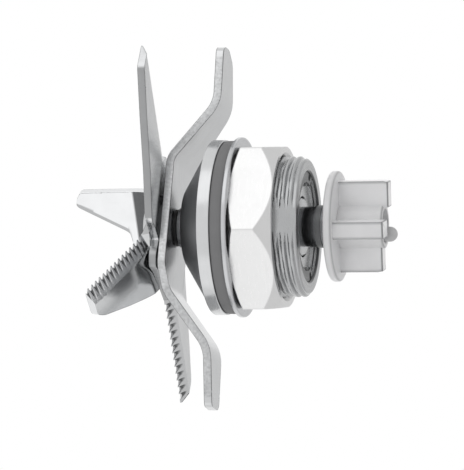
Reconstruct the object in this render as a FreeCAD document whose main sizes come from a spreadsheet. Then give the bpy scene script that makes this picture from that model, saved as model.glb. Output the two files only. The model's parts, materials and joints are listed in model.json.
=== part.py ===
import FreeCAD
import Part
import Sketcher

import math
import os
import re

SIZES = {
    # Bearing housing: flange, cone and barrel
    "flange_width": 3.5,
    "rim_height": 2.5,
    "cone_inset": 0.7,
    "cone_tip_dia": 15.8,
    "cone_top": 8.0,
    "housing_edge": 0.3,
    "barrel_dia": 28.0,
    "barrel_length": 16.6,
    "barrel_end_chamfer": 0.8,
    "mouth_chamfer": 0.3,
    "key_flat_depth": 0.78,
    "key_flat_reach": 6.0,
    "key_flat_angle": -84.0,
    "shaft_hole_gap": 0.4,
    # Jar clamp: gasket, keyed washer and nut
    "gasket_inset": 0.25,
    "gasket_height": 2.5,
    "washer_overhang": 0.5,
    "washer_height": 1.0,
    "nut_height": 8.6,
    "nut_wall": 2.0,
    "nut_facet_angle": -91.4,
    "nut_chamfer": 2.3,
    "nut_seat_chamfer_angle": 30.0,
    "nut_nose_chamfer_angle": 51.0,
    "nut_bore_chamfer": 0.8,
    "thread_gap": 0.06,
    "washer_gap": 0.08,
    # Deep-groove bearings, both alike, and what holds them
    "bearing_bore": 8.0,
    "bearing_dia": 22.0,
    "bearing_height": 7.0,
    "inner_race_reach": 1.725,
    "outer_race_reach": 1.975,
    "race_edge": 0.3,
    "ball_count": 7.0,
    "ball_dia": 3.969,
    "ball_circle_shift": 0.05,
    "ball_gap": 0.04,
    "cage_wall": 0.9,
    "cage_height": 5.0,
    "cage_pocket_gap": 0.05,
    "shield_height": 0.3,
    "shield_inset": 0.25,
    "shield_seat": 0.35,
    "shield_gap": 0.3,
    "spacer_height": 2.0,
    "outer_spacer_wall": 1.15,
    "ring_height": 0.6,
    "ring_seat": 0.4,
    "ring_wall": 2.5,
    "ring_margin": 0.5,
    "ring_opening": 130.0,
    "ring_eye_dia": 1.4,
    "ring_eye_angle": 9.0,
    "seal_dia": 16.0,
    "seal_height": 4.8,
    "seal_room": 5.1,
    "seal_lip_gap": 0.05,
    # Drive shaft and the rings on it
    "shaft_top": 9.9,
    "shaft_edge": 0.3,
    "tang_dia": 6.0,
    "tang_flats": 4.6,
    "tang_short": 0.2,
    "shaft_bottom": 30.0,
    "shaft_ring_wall": 0.25,
    "shaft_ring_height": 1.0,
    "shaft_ring_place": 18.5,
    "shoulder_washer_dia": 7.4,
    # Blade stack
    "lower_blade_height": 1.6,
    "shoulder_washer_height": 0.3,
    "blade_spacer_dia": 13.0,
    "blade_spacer_height": 0.5,
    "blade_height": 1.5,
    "screw_head_dia": 9.0,
    "screw_head_height": 1.2,
    "screw_head_edge": 0.5,
    "screw_dia": 4.0,
    "screw_length": 11.0,
    "screw_socket": 2.5,
    "screw_socket_depth": 0.8,
    # What the sheet blanks and the grinder reach past the finished outline
    "blank_margin": 2.0,
    "grinder_run": 1.0,
    "grinder_depth": 8.0,
    # Lower blade: two arms stepped down toward the flange
    "lower_blade_angle": 10.0,
    "step_start": 12.0,
    "step_radius": 4.0,
    "step_angle": 39.0,
    "step_end": 25.2,
    "step_end_radius": 7.0,
    # Middle blade: two flat arms, ground and serrated
    "middle_blade_angle": -27.0,
    "middle_bevel": 2.6,
    "middle_tooth_count": 14.0,
    "middle_tooth_pitch": 1.5,
    "middle_tooth_start": 14.8,
    # Upper blade: one arm straight up, one raised a little
    "upright_arm_angle": 61.6,
    "upright_start": 5.2,
    "upright_radius": 7.6,
    "upright_bend_angle": 90.0,
    "upright_bevel": 0.9,
    "raised_arm_angle": -118.4,
    "raised_start": 9.0,
    "raised_radius": 10.0,
    "raised_bend_angle": 17.0,
    "raised_bevel": 3.5,
    "raised_tooth_count": 15.0,
    "raised_tooth_pitch": 1.25,
    "raised_tooth_start": 14.2,
    "tooth_radius": 0.6,
    "tooth_depth": 0.42,
    # Drive coupling
    "coupling_dia": 22.0,
    "coupling_place": 21.8,
    "coupling_disc_height": 1.2,
    "coupling_length": 11.2,
    "coupling_hub_dia": 9.0,
    "coupling_hub_setback": 1.0,
    "coupling_arm_span": 18.1,
    "coupling_arm_width": 3.4,
    "coupling_arm_angle": -6.0,
    "coupling_lead_in": 0.8,
    "coupling_socket_dia": 6.4,
    "pin_dia": 3.0,
    "pin_offset": 1.65,
    "pin_tip": 34.9,
    "pin_nose": 0.7,
}

# Sizes that several pieces share, as formulas of the sheet
NUT_FLATS = "(barrel_dia + 2 * nut_wall)"
BEARING_FACE = "(barrel_length - ring_height - ring_margin)"
BALL_CIRCLE_DIA = "((bearing_bore + bearing_dia) / 2 + ball_circle_shift)"
INNER_RACE_DIA = f"({BALL_CIRCLE_DIA} - 2 * inner_race_reach)"
OUTER_RACE_BORE = f"({BALL_CIRCLE_DIA} + 2 * outer_race_reach)"

# Flat outlines of the blades in mm: along the arm, then toward its leading edge
LOWER_HALF = [
    (11.5, -5.6), (28.0, -4.5), (37.4, -3.3), (39.9, 0.2),
    (38.6, 3.0), (26.0, 5.6), (13.0, 6.0), (8.9, 10.5),
]
MIDDLE_HALF = [
    (1.7, -7.8), (7.5, -11.2), (16.5, -8.2), (28.0, -5.8), (37.2, -3.4),
    (39.5, 2.0), (14.0, 4.8), (4.5, 10.5), (1.9, 13.0), (-0.5, 11.5),
]
UPRIGHT_ARM = [
    (-6.0, -3.2), (15.0, -2.1), (28.2, -1.9), (29.0, -0.6),
    (29.5, 1.8), (19.1, 7.9), (18.8, 10.3), (-6.0, 10.3),
]
RAISED_ARM = [
    (-2.0, -9.4), (6.0, -10.3), (14.3, -8.2), (20.0, -6.6), (29.4, -3.6),
    (31.8, -2.2), (33.0, 3.6), (10.0, 3.9), (-2.0, 3.7),
]
MIDDLE_EDGE = [(14.0, 4.8), (39.5, 2.0)]
RAISED_EDGE = [(10.0, 3.9), (33.0, 3.6)]
UPRIGHT_EDGE = [(19.1, 7.9), (29.5, 1.8)]

doc = FreeCAD.newDocument("blade_assembly")
sheet = doc.addObject("Spreadsheet::Sheet", "dims")
for row, (alias, value) in enumerate(SIZES.items(), start=1):
    sheet.set(f"A{row}", alias)
    sheet.set(f"B{row}", str(value))
    sheet.setAlias(f"B{row}", alias)
doc.recompute()


def size(alias):
    """The sheet's value of one alias as a number."""
    return float(sheet.get(alias))


def bound(formula):
    """A formula of sheet aliases as an expression of the document."""
    return re.sub(r"[a-z]+(?:_[a-z]+)+", lambda word: "dims." + word.group(), str(formula))


def number(formula):
    """The present value of a formula of sheet aliases."""
    result = sheet.evalExpression(bound(formula))
    return float(getattr(result, "Value", result))


def origin_part(body, role):
    """The plane or axis of the body's own origin with this role."""
    return next(item for item in body.Origin.OriginFeatures if item.Role == role)


def new_body(name):
    """An empty body whose label is the node's name."""
    body = doc.addObject("PartDesign::Body", name)
    body.Label = name
    return body


def new_sketch(body, name, role):
    """A sketch of the body on one of its own origin planes."""
    sketch = body.newObject("Sketcher::SketchObject", name)
    sketch.AttachmentSupport = (origin_part(body, role), "")
    sketch.MapMode = "FlatFace"
    return sketch


def add_loop(sketch, corners):
    """A closed polygon whose corners follow formulas of the sheet."""
    first = sketch.GeometryCount
    count = len(corners)
    points = [FreeCAD.Vector(number(across), number(up), 0) for across, up in corners]
    for index in range(count):
        sketch.addGeometry(Part.LineSegment(points[index], points[(index + 1) % count]), False)
    for index in range(count):
        following = first + (index + 1) % count
        sketch.addConstraint(Sketcher.Constraint("Coincident", first + index, 2, following, 1))
    for index, (across, up) in enumerate(corners):
        start = points[index]
        for kind, formula, value in (("DistanceX", across, start.x), ("DistanceY", up, start.y)):
            place = sketch.addConstraint(Sketcher.Constraint(kind, -1, 1, first + index, 1, value))
            sketch.setExpression(f"Constraints[{place}]", bound(formula))


def add_circle(sketch, across, up, radius):
    """A circle whose centre and radius follow formulas of the sheet."""
    centre = FreeCAD.Vector(number(across), number(up), 0)
    ring = sketch.addGeometry(Part.Circle(centre, FreeCAD.Vector(0, 0, 1), number(radius)), False)
    for kind, formula, value in (("DistanceX", across, centre.x), ("DistanceY", up, centre.y)):
        place = sketch.addConstraint(Sketcher.Constraint(kind, -1, 1, ring, 3, value))
        sketch.setExpression(f"Constraints[{place}]", bound(formula))
    place = sketch.addConstraint(Sketcher.Constraint("Radius", ring, number(radius)))
    sketch.setExpression(f"Constraints[{place}]", bound(radius))


def add_feature(body, kind, name, sketch, **settings):
    """A sketch-based feature at the body's tip."""
    feature = body.newObject("PartDesign::" + kind, name)
    feature.Profile = sketch
    for setting, value in settings.items():
        if isinstance(value, str) and setting in ("Length", "Angle", "Radius"):
            feature.setExpression(setting, bound(value))
        else:
            setattr(feature, setting, value)
    sketch.Visibility = False
    body.Tip = feature
    return feature


def revolved(name, corners):
    """A body turned about Z from a polygon of (radius, height) formulas."""
    body = new_body(name)
    sketch = new_sketch(body, name + "_section", "XZ_Plane")
    add_loop(sketch, corners)
    add_feature(body, "Revolution", name + "_turned", sketch, ReferenceAxis=(sketch, ["V_Axis"]), Angle=360.0)
    return body


def ring_corners(inner, outer, low, high, edge="0"):
    """Section of a plain ring, its outer corners broken by edge."""
    if edge == "0":
        return [(inner, low), (outer, low), (outer, high), (inner, high)]
    return [(inner, low), (f"{outer} - {edge}", low), (outer, f"{low} + {edge}"), (outer, f"{high} - {edge}"),
            (f"{outer} - {edge}", high), (inner, high)]


def primitive(kind, name, **formulas):
    """A Part primitive whose properties follow formulas of the sheet."""
    solid = doc.addObject("Part::" + kind, name)
    for setting, formula in formulas.items():
        solid.setExpression(setting.replace("__", "."), bound(formula))
    return solid


def part_cut(name, base, tool):
    """The node made by taking tool from base."""
    result = doc.addObject("Part::Cut", name)
    result.Base = base
    result.Tool = tool
    result.Label = name
    return result


def build_housing():
    """Flange, cone and barrel in one, bored for the bearings, ring and seal."""
    wall = "barrel_dia / 2"
    flange = "barrel_dia / 2 + flange_width"
    bore = "bearing_dia / 2"
    seat = f"{BEARING_FACE} + ring_height"
    ceiling = f"2 * bearing_height + spacer_height - {BEARING_FACE}"
    hole = "bearing_bore / 2 + shaft_hole_gap"
    body = revolved("bearing_housing", [
        (hole, "cone_top"),
        ("cone_tip_dia / 2 - housing_edge", "cone_top"),
        ("cone_tip_dia / 2", "cone_top - housing_edge"),
        (f"{flange} - cone_inset", "rim_height"),
        (f"{flange} - housing_edge", "rim_height"),
        (flange, "rim_height - housing_edge"),
        (flange, "0"),
        (wall, "0"),
        (wall, "barrel_end_chamfer - barrel_length"),
        (f"{wall} - barrel_end_chamfer", "-barrel_length"),
        (f"{bore} + mouth_chamfer", "-barrel_length"),
        (bore, "mouth_chamfer - barrel_length"),
        (bore, f"-({seat})"),
        (f"{bore} + ring_seat", f"-({seat})"),
        (f"{bore} + ring_seat", f"-{BEARING_FACE}"),
        (bore, f"-{BEARING_FACE}"),
        (bore, ceiling),
        ("seal_dia / 2", ceiling),
        ("seal_dia / 2", f"{ceiling} + seal_room"),
        (hole, f"{ceiling} + seal_room"),
    ])
    flat = new_sketch(body, "key_flat_outline", "XY_Plane")
    add_loop(flat, key_segment("barrel_dia / 2 - key_flat_depth"))
    add_feature(body, "Pocket", "key_flat", flat, Length="barrel_length")


def key_segment(near):
    """Rectangle over the barrel's key flat, from the distance near outward."""
    ahead = ("cos(key_flat_angle)", "sin(key_flat_angle)")
    aside = ("-sin(key_flat_angle)", "cos(key_flat_angle)")
    far = "barrel_dia / 2 + key_flat_depth"
    corners = []
    for reach, side in ((near, "-1"), (far, "-1"), (far, "1"), (near, "1")):
        corners.append(tuple(f"({reach}) * {ahead[axis]} + {side} * key_flat_reach * {aside[axis]}"
                             for axis in (0, 1)))
    return corners


def build_clamp():
    """Gasket, keyed washer and hexagonal nut under the flange."""
    flange = "barrel_dia / 2 + flange_width"
    revolved("jar_gasket", ring_corners("barrel_dia / 2", f"{flange} - gasket_inset", "-gasket_height", "0"))
    floor = "-(gasket_height + washer_height)"
    hole = "barrel_dia / 2 + washer_gap"
    rim = f"{flange} + washer_overhang"
    washer = revolved("jar_washer", ring_corners(hole, rim, floor, "-gasket_height"))
    key = new_sketch(washer, "washer_key_outline", "XY_Plane")
    key.setExpression("AttachmentOffset.Base.z", bound("-gasket_height"))
    add_loop(key, key_segment("barrel_dia / 2 - key_flat_depth + washer_gap"))
    add_feature(washer, "Pad", "washer_key", key, Length="washer_height", Reversed=True)

    corner = f"{NUT_FLATS} / sqrt(3)"
    seat_fall = "nut_chamfer * tan(nut_seat_chamfer_angle)"
    nose_fall = "nut_chamfer * tan(nut_nose_chamfer_angle)"
    low = "-(gasket_height + washer_height + nut_height)"
    bore = "barrel_dia / 2 + thread_gap"
    nut = revolved("jar_nut", [
        (f"{bore} + nut_bore_chamfer", low),
        (f"{corner} - nut_chamfer", low),
        (corner, f"{low} + {nose_fall}"),
        (corner, f"{floor} - {seat_fall}"),
        (f"{corner} - nut_chamfer", floor),
        (f"{bore} + nut_bore_chamfer", floor),
        (bore, f"{floor} - nut_bore_chamfer"),
        (bore, f"{low} + nut_bore_chamfer"),
    ])
    facets = new_sketch(nut, "nut_facets_outline", "XY_Plane")
    turns = [f"nut_facet_angle + {60 * step}" for step in range(6)]
    add_loop(facets, [(f"{corner} * cos({turn})", f"{corner} * sin({turn})") for turn in turns])
    add_circle(facets, "0", "0", NUT_FLATS)
    add_feature(nut, "Pocket", "nut_facets", facets, Length="gasket_height + washer_height + nut_height")


def ball_set(name, middle, radius):
    """Equal spheres on the pitch circle at one height."""
    balls = []
    for step in range(int(size("ball_count"))):
        angle = f"360 * {step} / ball_count"
        balls.append(primitive("Sphere", f"{name}_{step}", Radius=radius,
                               Placement__Base__x=f"{BALL_CIRCLE_DIA} / 2 * cos({angle})",
                               Placement__Base__y=f"{BALL_CIRCLE_DIA} / 2 * sin({angle})",
                               Placement__Base__z=middle))
    group = doc.addObject("Part::Compound", name)
    group.Links = balls
    group.Label = name
    return group


def build_bearing(side, low):
    """One deep-groove ball bearing: races, balls, cage and two shields."""
    middle = f"{low} + bearing_height / 2"
    high = f"{low} + bearing_height"
    recess = "shield_inset + shield_height"
    outer = revolved(side + "_outer_blank", [
        (f"{OUTER_RACE_BORE} / 2 + shield_seat", low),
        ("bearing_dia / 2 - race_edge", low),
        ("bearing_dia / 2", f"{low} + race_edge"),
        ("bearing_dia / 2", f"{high} - race_edge"),
        ("bearing_dia / 2 - race_edge", high),
        (f"{OUTER_RACE_BORE} / 2 + shield_seat", high),
        (f"{OUTER_RACE_BORE} / 2 + shield_seat", f"{high} - ({recess})"),
        (f"{OUTER_RACE_BORE} / 2", f"{high} - ({recess})"),
        (f"{OUTER_RACE_BORE} / 2", f"{low} + {recess}"),
        (f"{OUTER_RACE_BORE} / 2 + shield_seat", f"{low} + {recess}"),
    ])
    inner = revolved(side + "_inner_blank",
                     ring_corners("bearing_bore / 2", f"{INNER_RACE_DIA} / 2", low, high, "race_edge"))
    for blank, label in ((outer, "outer_race"), (inner, "inner_race")):
        groove = primitive("Torus", f"{side}_{label}_groove", Radius1=f"{BALL_CIRCLE_DIA} / 2",
                           Radius2="ball_dia / 2 + ball_gap", Placement__Base__z=middle)
        part_cut(f"{side}_{label}", blank, groove)
    ball_set(side + "_balls", middle, "ball_dia / 2")
    blank = revolved(side + "_cage_blank", ring_corners(f"({BALL_CIRCLE_DIA} - cage_wall) / 2",
                                                        f"({BALL_CIRCLE_DIA} + cage_wall) / 2",
                                                        f"{middle} - cage_height / 2",
                                                        f"{middle} + cage_height / 2"))
    pockets = []
    for step in range(int(size("ball_count"))):
        turn = math.tau * step / size("ball_count")
        pocket = primitive("Cylinder", f"{side}_pocket_{step}", Radius="ball_dia / 2 + cage_pocket_gap",
                           Height=BALL_CIRCLE_DIA, Placement__Base__z=middle)
        outward = FreeCAD.Vector(math.cos(turn), math.sin(turn), 0)
        pocket.Placement.Rotation = FreeCAD.Rotation(FreeCAD.Vector(0, 0, 1), outward)
        pockets.append(pocket)
    row = doc.addObject("Part::Compound", side + "_pockets")
    row.Links = pockets
    part_cut(side + "_cage", blank, row)
    shields = []
    for end, floor in (("a", f"{low} + shield_inset"), ("b", f"{high} - ({recess})")):
        shields.append(revolved(f"{side}_shield_{end}", ring_corners(f"{INNER_RACE_DIA} / 2 + shield_gap",
                                                                    f"{OUTER_RACE_BORE} / 2 + shield_seat",
                                                                    floor, f"{floor} + shield_height")))
    pair = doc.addObject("Part::Compound", side + "_shields")
    pair.Links = shields
    pair.Label = side + "_shields"


def build_bearing_seats():
    """Both bearings, the spacers between them, the retaining ring and the seal."""
    build_bearing("lower", f"-{BEARING_FACE}")
    build_bearing("upper", f"bearing_height + spacer_height - {BEARING_FACE}")
    low = f"bearing_height - {BEARING_FACE}"
    high = f"bearing_height + spacer_height - {BEARING_FACE}"
    bore = "bearing_dia / 2 - outer_spacer_wall"
    revolved("outer_spacer", ring_corners(bore, "bearing_dia / 2", low, high))
    revolved("inner_spacer", ring_corners("bearing_bore / 2", f"{INNER_RACE_DIA} / 2 - race_edge", low, high))
    floor = f"2 * bearing_height + spacer_height - {BEARING_FACE}"
    revolved("shaft_seal", ring_corners("bearing_bore / 2 + seal_lip_gap", "seal_dia / 2",
                                        f"{floor} + seal_room - seal_height", f"{floor} + seal_room"))

    ring = revolved("retaining_ring", ring_corners("bearing_dia / 2 + ring_seat - ring_wall",
                                                   "bearing_dia / 2 + ring_seat",
                                                   f"-({BEARING_FACE} + ring_height)", f"-{BEARING_FACE}"))
    gap = new_sketch(ring, "ring_opening_outline", "XY_Plane")
    across = "bearing_dia * sin(ring_opening / 2)"
    up = "bearing_dia * cos(ring_opening / 2)"
    add_loop(gap, [
        ("0", "0"),
        (f"-{across}", up),
        (f"-{across}", "bearing_dia"),
        (across, "bearing_dia"),
        (across, up),
    ])
    middle = "(bearing_dia / 2 + ring_seat - ring_wall / 2)"
    for side in ("-1", "1"):
        add_circle(gap, f"{side} * {middle} * sin(ring_opening / 2 + ring_eye_angle)",
                   f"{middle} * cos(ring_opening / 2 + ring_eye_angle)", "ring_eye_dia / 2")
    add_feature(ring, "Pocket", "ring_opening", gap, Length=f"{BEARING_FACE} + ring_height")


def build_shaft():
    """Stepped drive shaft with a flatted tang, and the rings it carries."""
    stack = "shaft_top + shoulder_washer_height + lower_blade_height + blade_spacer_height + 2 * blade_height"
    body = revolved("drive_shaft", [
        ("screw_dia / 2", f"{stack} - tang_short"),
        ("tang_dia / 2", f"{stack} - tang_short"),
        ("tang_dia / 2", "shaft_top"),
        ("bearing_bore / 2 - shaft_edge", "shaft_top"),
        ("bearing_bore / 2", "shaft_top - shaft_edge"),
        ("bearing_bore / 2", "-coupling_place"),
        ("coupling_socket_dia / 2", "-coupling_place"),
        ("coupling_socket_dia / 2", "-shaft_bottom"),
        ("0", "-shaft_bottom"),
        ("0", f"{stack} + screw_head_height - screw_length"),
        ("screw_dia / 2", f"{stack} + screw_head_height - screw_length"),
    ])
    flats = new_sketch(body, "tang_flats_outline", "XY_Plane")
    flats.setExpression("AttachmentOffset.Base.z", bound(stack))
    for side in ("-1", "1"):
        add_loop(flats, [(f"{side} * tang_flats / 2", "-tang_dia"), (f"{side} * tang_dia", "-tang_dia"),
                         (f"{side} * tang_dia", "tang_dia"), (f"{side} * tang_flats / 2", "tang_dia")])
    add_feature(body, "Pocket", "tang_flats", flats, Length=f"{stack} - shaft_top")
    revolved("shoulder_washer", ring_corners("tang_dia / 2", "shoulder_washer_dia / 2",
                                             "shaft_top", "shaft_top + shoulder_washer_height"))
    revolved("shaft_ring", ring_corners("bearing_bore / 2", "bearing_bore / 2 + shaft_ring_wall",
                                        "-(shaft_ring_place + shaft_ring_height)", "-shaft_ring_place"))
    screw = revolved("blade_screw", [
        ("0", f"{stack} + screw_head_height - screw_length"),
        ("screw_dia / 2", f"{stack} + screw_head_height - screw_length"),
        ("screw_dia / 2", stack),
        ("screw_head_dia / 2", stack),
        ("screw_head_dia / 2", f"{stack} + screw_head_height - screw_head_edge"),
        ("screw_head_dia / 2 - screw_head_edge", f"{stack} + screw_head_height"),
        ("0", f"{stack} + screw_head_height"),
    ])
    socket = new_sketch(screw, "screw_socket_outline", "XY_Plane")
    socket.setExpression("AttachmentOffset.Base.z", bound(f"{stack} + screw_head_height"))
    corner = "screw_socket / sqrt(3)"
    add_loop(socket, [(f"{corner} * cos({60 * step})", f"{corner} * sin({60 * step})") for step in range(6)])
    add_feature(screw, "Pocket", "screw_socket_cut", socket, Length="screw_socket_depth")


def build_coupling():
    """Disc and four-armed hub that plug into the motor base, with the end pin."""
    foot = "-(coupling_place + coupling_length)"
    body = revolved("drive_coupling", [
        ("coupling_socket_dia / 2", "-coupling_place"),
        ("coupling_dia / 2", "-coupling_place"),
        ("coupling_dia / 2", "-(coupling_place + coupling_disc_height)"),
        ("coupling_hub_dia / 2", "-(coupling_place + coupling_disc_height)"),
        ("coupling_hub_dia / 2", f"{foot} + coupling_hub_setback"),
        ("coupling_socket_dia / 2", f"{foot} + coupling_hub_setback"),
    ])
    arm = new_sketch(body, "coupling_arm_outline", "XY_Plane")
    arm.setExpression("AttachmentOffset.Base.z", bound("-(coupling_place + coupling_disc_height)"))
    across = ("cos(coupling_arm_angle)", "sin(coupling_arm_angle)")
    aside = ("-sin(coupling_arm_angle)", "cos(coupling_arm_angle)")
    near = "(coupling_socket_dia + coupling_hub_dia) / 4"
    far = "coupling_arm_span / 2"
    corners = []
    for reach, side in ((near, "-1"), (far, "-1"), (far, "1"), (near, "1")):
        corners.append(tuple(f"{reach} * {across[axis]} + {side} * coupling_arm_width / 2 * {aside[axis]}"
                             for axis in (0, 1)))
    add_loop(arm, corners)
    height = "coupling_length - coupling_disc_height"
    pad = add_feature(body, "Pad", "coupling_arm", arm, Length=height, Reversed=True)
    pattern = body.newObject("PartDesign::PolarPattern", "coupling_arms")
    pattern.Originals = [pad]
    pattern.Axis = (origin_part(body, "Z_Axis"), [""])
    pattern.Angle = 360.0
    pattern.Occurrences = 4
    body.Tip = pattern
    lead = new_sketch(body, "coupling_lead_in_section", "XZ_Plane")
    add_loop(lead, [
        (f"{far} - coupling_lead_in", foot),
        (f"{far} + coupling_lead_in", foot),
        (f"{far} + coupling_lead_in", f"{foot} + 2 * coupling_lead_in"),
    ])
    add_feature(body, "Groove", "coupling_lead_in_cut", lead, ReferenceAxis=(lead, ["V_Axis"]), Angle=360.0)

    pin = revolved("coupling_pin", [
        ("0", "-shaft_bottom"),
        ("pin_dia / 2", "-shaft_bottom"),
        ("pin_dia / 2", "pin_nose - pin_tip"),
        ("pin_dia / 2 - pin_nose", "-pin_tip"),
        ("0", "-pin_tip"),
    ])
    pin.setExpression("Placement.Base.x", bound("-pin_offset"))


def fold(bends, along, height=0.0):
    """Where a point at flat distance along, and height off the middle, lies once bent."""
    spot = FreeCAD.Vector(0, 0, 0)
    heading = 0.0
    place = 0.0
    for start, radius, angle in bends:
        turn = math.radians(angle)
        if along <= start:
            break
        spot += FreeCAD.Vector(math.cos(heading), 0, math.sin(heading)) * (start - place)
        done = min(1.0, (along - start) / (radius * abs(turn)))
        sign = 1 if turn > 0 else -1
        centre = spot + FreeCAD.Vector(-math.sin(heading), 0, math.cos(heading)) * (radius * sign)
        heading += turn * done
        spot = centre - FreeCAD.Vector(-math.sin(heading), 0, math.cos(heading)) * (radius * sign)
        place = start + radius * abs(turn) * done
    spot += FreeCAD.Vector(math.cos(heading), 0, math.sin(heading)) * (along - place)
    return spot + FreeCAD.Vector(-math.sin(heading), 0, math.cos(heading)) * height, heading


def bent_strip(bends, start, reach, thick, half):
    """A wide strip of sheet from start to reach, bent about lines across it."""
    sides = {}
    for height in (thick / 2, -thick / 2):
        edges = []
        place = start
        for bend_start, radius, angle in bends:
            end = bend_start + radius * math.radians(abs(angle))
            bend_from = fold(bends, bend_start, height)[0]
            edges.append(Part.LineSegment(fold(bends, place, height)[0], bend_from).toShape())
            bend_middle = fold(bends, (bend_start + end) / 2, height)[0]
            edges.append(Part.Arc(bend_from, bend_middle, fold(bends, end, height)[0]).toShape())
            place = end
        edges.append(Part.LineSegment(fold(bends, place, height)[0], fold(bends, reach, height)[0]).toShape())
        sides[height] = edges
    top, bottom = sides[thick / 2], sides[-thick / 2]
    for place in (start, reach):
        ends = [fold(bends, place, thick / 2)[0], fold(bends, place, -thick / 2)[0]]
        top.append(Part.LineSegment(*ends).toShape())
    wire = Part.Wire(Part.__sortEdges__(top + bottom))
    face = Part.Face(wire)
    face.translate(FreeCAD.Vector(0, -half, 0))
    return face.extrude(FreeCAD.Vector(0, 2 * half, 0))


def prism(points, low, high):
    """A polygon in X and Y raised from low to high."""
    wire = Part.makePolygon([FreeCAD.Vector(across, up, low) for across, up in points + points[:1]])
    return Part.Face(wire).extrude(FreeCAD.Vector(0, 0, high - low))


def plan_of(bends, outline):
    """A flat outline as seen from above once bent, with corners added where bends begin and end."""
    marks = []
    for start, radius, angle in bends:
        marks += [start, start + radius * math.radians(abs(angle))]
    points = []
    for (along, aside), (next_along, next_aside) in zip(outline, outline[1:] + outline[:1]):
        stops = [mark for mark in marks if min(along, next_along) < mark < max(along, next_along)]
        points.append((along, aside))
        for mark in sorted(stops, reverse=along > next_along):
            share = (mark - along) / (next_along - along)
            points.append((mark, aside + share * (next_aside - aside)))
    return [(fold(bends, along)[0].x, aside) for along, aside in points]


def edge_tool(edge, bevel, thick, under):
    """What the grinder takes off a leading edge, the slope's direction and its upper line's start."""
    first, last = (FreeCAD.Vector(along, aside, 0) for along, aside in edge)
    ahead = (last - first).normalize()
    outward = FreeCAD.Vector(-ahead.y, ahead.x, 0)
    side = -1 if under else 1
    sharp = first - FreeCAD.Vector(0, 0, side * thick / 2)
    blunt = first - outward * bevel + FreeCAD.Vector(0, 0, side * thick / 2)
    slope = (sharp - blunt).normalize()
    normal = ahead.cross(slope)
    if normal.z * side < 0:
        normal = -normal
    run = slope * size("grinder_run")
    depth = normal * size("grinder_depth")
    corners = [blunt - run, sharp + run, sharp + run + depth, blunt - run + depth]
    length = (last - first).Length + size("grinder_depth")
    tool = Part.Face(Part.makePolygon(corners + corners[:1])).extrude(ahead * length)
    return tool, ahead, slope, normal, blunt


def scallop_tools(edge, bevel, thick, under, teeth):
    """Round cutters laid across the bevel: teeth is their count, pitch and first place."""
    count, pitch, start = teeth
    ahead, slope, normal, blunt = edge_tool(edge, bevel, thick, under)[1:]
    radius = size("tooth_radius")
    run = size("grinder_run")
    length = math.hypot(bevel, thick) + 2 * run
    cutters = []
    for step in range(int(count)):
        along = (start + pitch * step - edge[0][0]) / ahead.x
        foot = blunt + ahead * along + normal * (radius - size("tooth_depth")) - slope * run
        cutters.append(Part.makeCylinder(radius, length, foot, slope))
    return cutters


def bend_placement(bends, along):
    """The motion that carries the flat sheet to where it lies past its last bend."""
    spot, heading = fold(bends, along)
    turn = FreeCAD.Rotation(FreeCAD.Vector(0, 1, 0), -math.degrees(heading))
    return FreeCAD.Placement(spot - turn.multVec(FreeCAD.Vector(along, 0, 0)), turn)


def grind(arm, bends, edge, bevel, thick, under=True, teeth=(0, 0, 0)):
    """An arm with its leading edge ground to a bevel and scalloped."""
    motion = bend_placement(bends, edge[1][0])
    tools = [edge_tool(edge, bevel, thick, under)[0]] + scallop_tools(edge, bevel, thick, under, teeth)
    for tool in tools:
        tool.Placement = motion.multiply(tool.Placement)
        arm = arm.cut(tool)
    return arm


def tang_hole(low, high):
    """The flatted hole that keys a blade to the shaft's tang."""
    hole = Part.makeCylinder(size("tang_dia") / 2, high - low, FreeCAD.Vector(0, 0, low))
    flats = size("tang_flats")
    width = 2 * size("tang_dia")
    block = Part.makeBox(flats, width, high - low, FreeCAD.Vector(-flats / 2, -width / 2, low))
    return hole.common(block)


def turned(shape, angle, height):
    """A copy turned about Z by angle in degrees and raised by height."""
    copy = shape.copy()
    copy.rotate(FreeCAD.Vector(0, 0, 0), FreeCAD.Vector(0, 0, 1), angle)
    copy.translate(FreeCAD.Vector(0, 0, height))
    return copy


def add_blade(name, shape, low):
    """A blade as one solid, keyed to the tang, at its height in the stack."""
    thick = shape.BoundBox.ZLength
    keyed = shape.cut(tang_hole(-thick, thick)).removeSplitter()
    feature = doc.addObject("Part::Feature", name)
    feature.Label = name
    feature.Shape = keyed.Solids[0] if keyed.Solids else keyed
    feature.Placement = FreeCAD.Placement(FreeCAD.Vector(0, 0, low), FreeCAD.Rotation())


def mirrored_outline(half):
    """A whole point-symmetric outline from one half of it."""
    return half + [(-along, -aside) for along, aside in half]


def mirrored_plan(bends, half):
    """Plan of a point-symmetric blade whose two arms have the same bends."""
    closing = (-half[0][0], -half[0][1])
    plan = plan_of(bends, half + [closing])
    return mirrored_outline(plan[:plan.index(closing)])


def build_lower_blade(low):
    """Flat hub with two arms stepped down toward the flange."""
    thick = size("lower_blade_height")
    margin = size("blank_margin")
    bends = [
        (size("step_start"), size("step_radius"), -size("step_angle")),
        (size("step_end"), size("step_end_radius"), size("step_angle")),
    ]
    reach = max(along for along, aside in LOWER_HALF) + margin
    strip = bent_strip(bends, -margin, reach, thick, reach)
    strip = strip.fuse(turned(strip, 180, 0))
    arms = strip.common(prism(mirrored_plan(bends, LOWER_HALF), -reach, reach))
    add_blade("lower_blade", turned(arms, size("lower_blade_angle"), 0), low + thick / 2)


def build_middle_blade(low):
    """Two flat arms, both ground on the underside and one of them serrated."""
    thick = size("blade_height")
    bevel = size("middle_bevel")
    teeth = (size("middle_tooth_count"), size("middle_tooth_pitch"), size("middle_tooth_start"))
    arms = prism(mirrored_outline(MIDDLE_HALF), -thick / 2, thick / 2)
    arms = grind(arms, [], MIDDLE_EDGE, bevel, thick)
    arms = grind(turned(arms, 180, 0), [], MIDDLE_EDGE, bevel, thick, teeth=teeth)
    add_blade("middle_blade", turned(arms, size("middle_blade_angle") + 180, 0), low + thick / 2)


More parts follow.
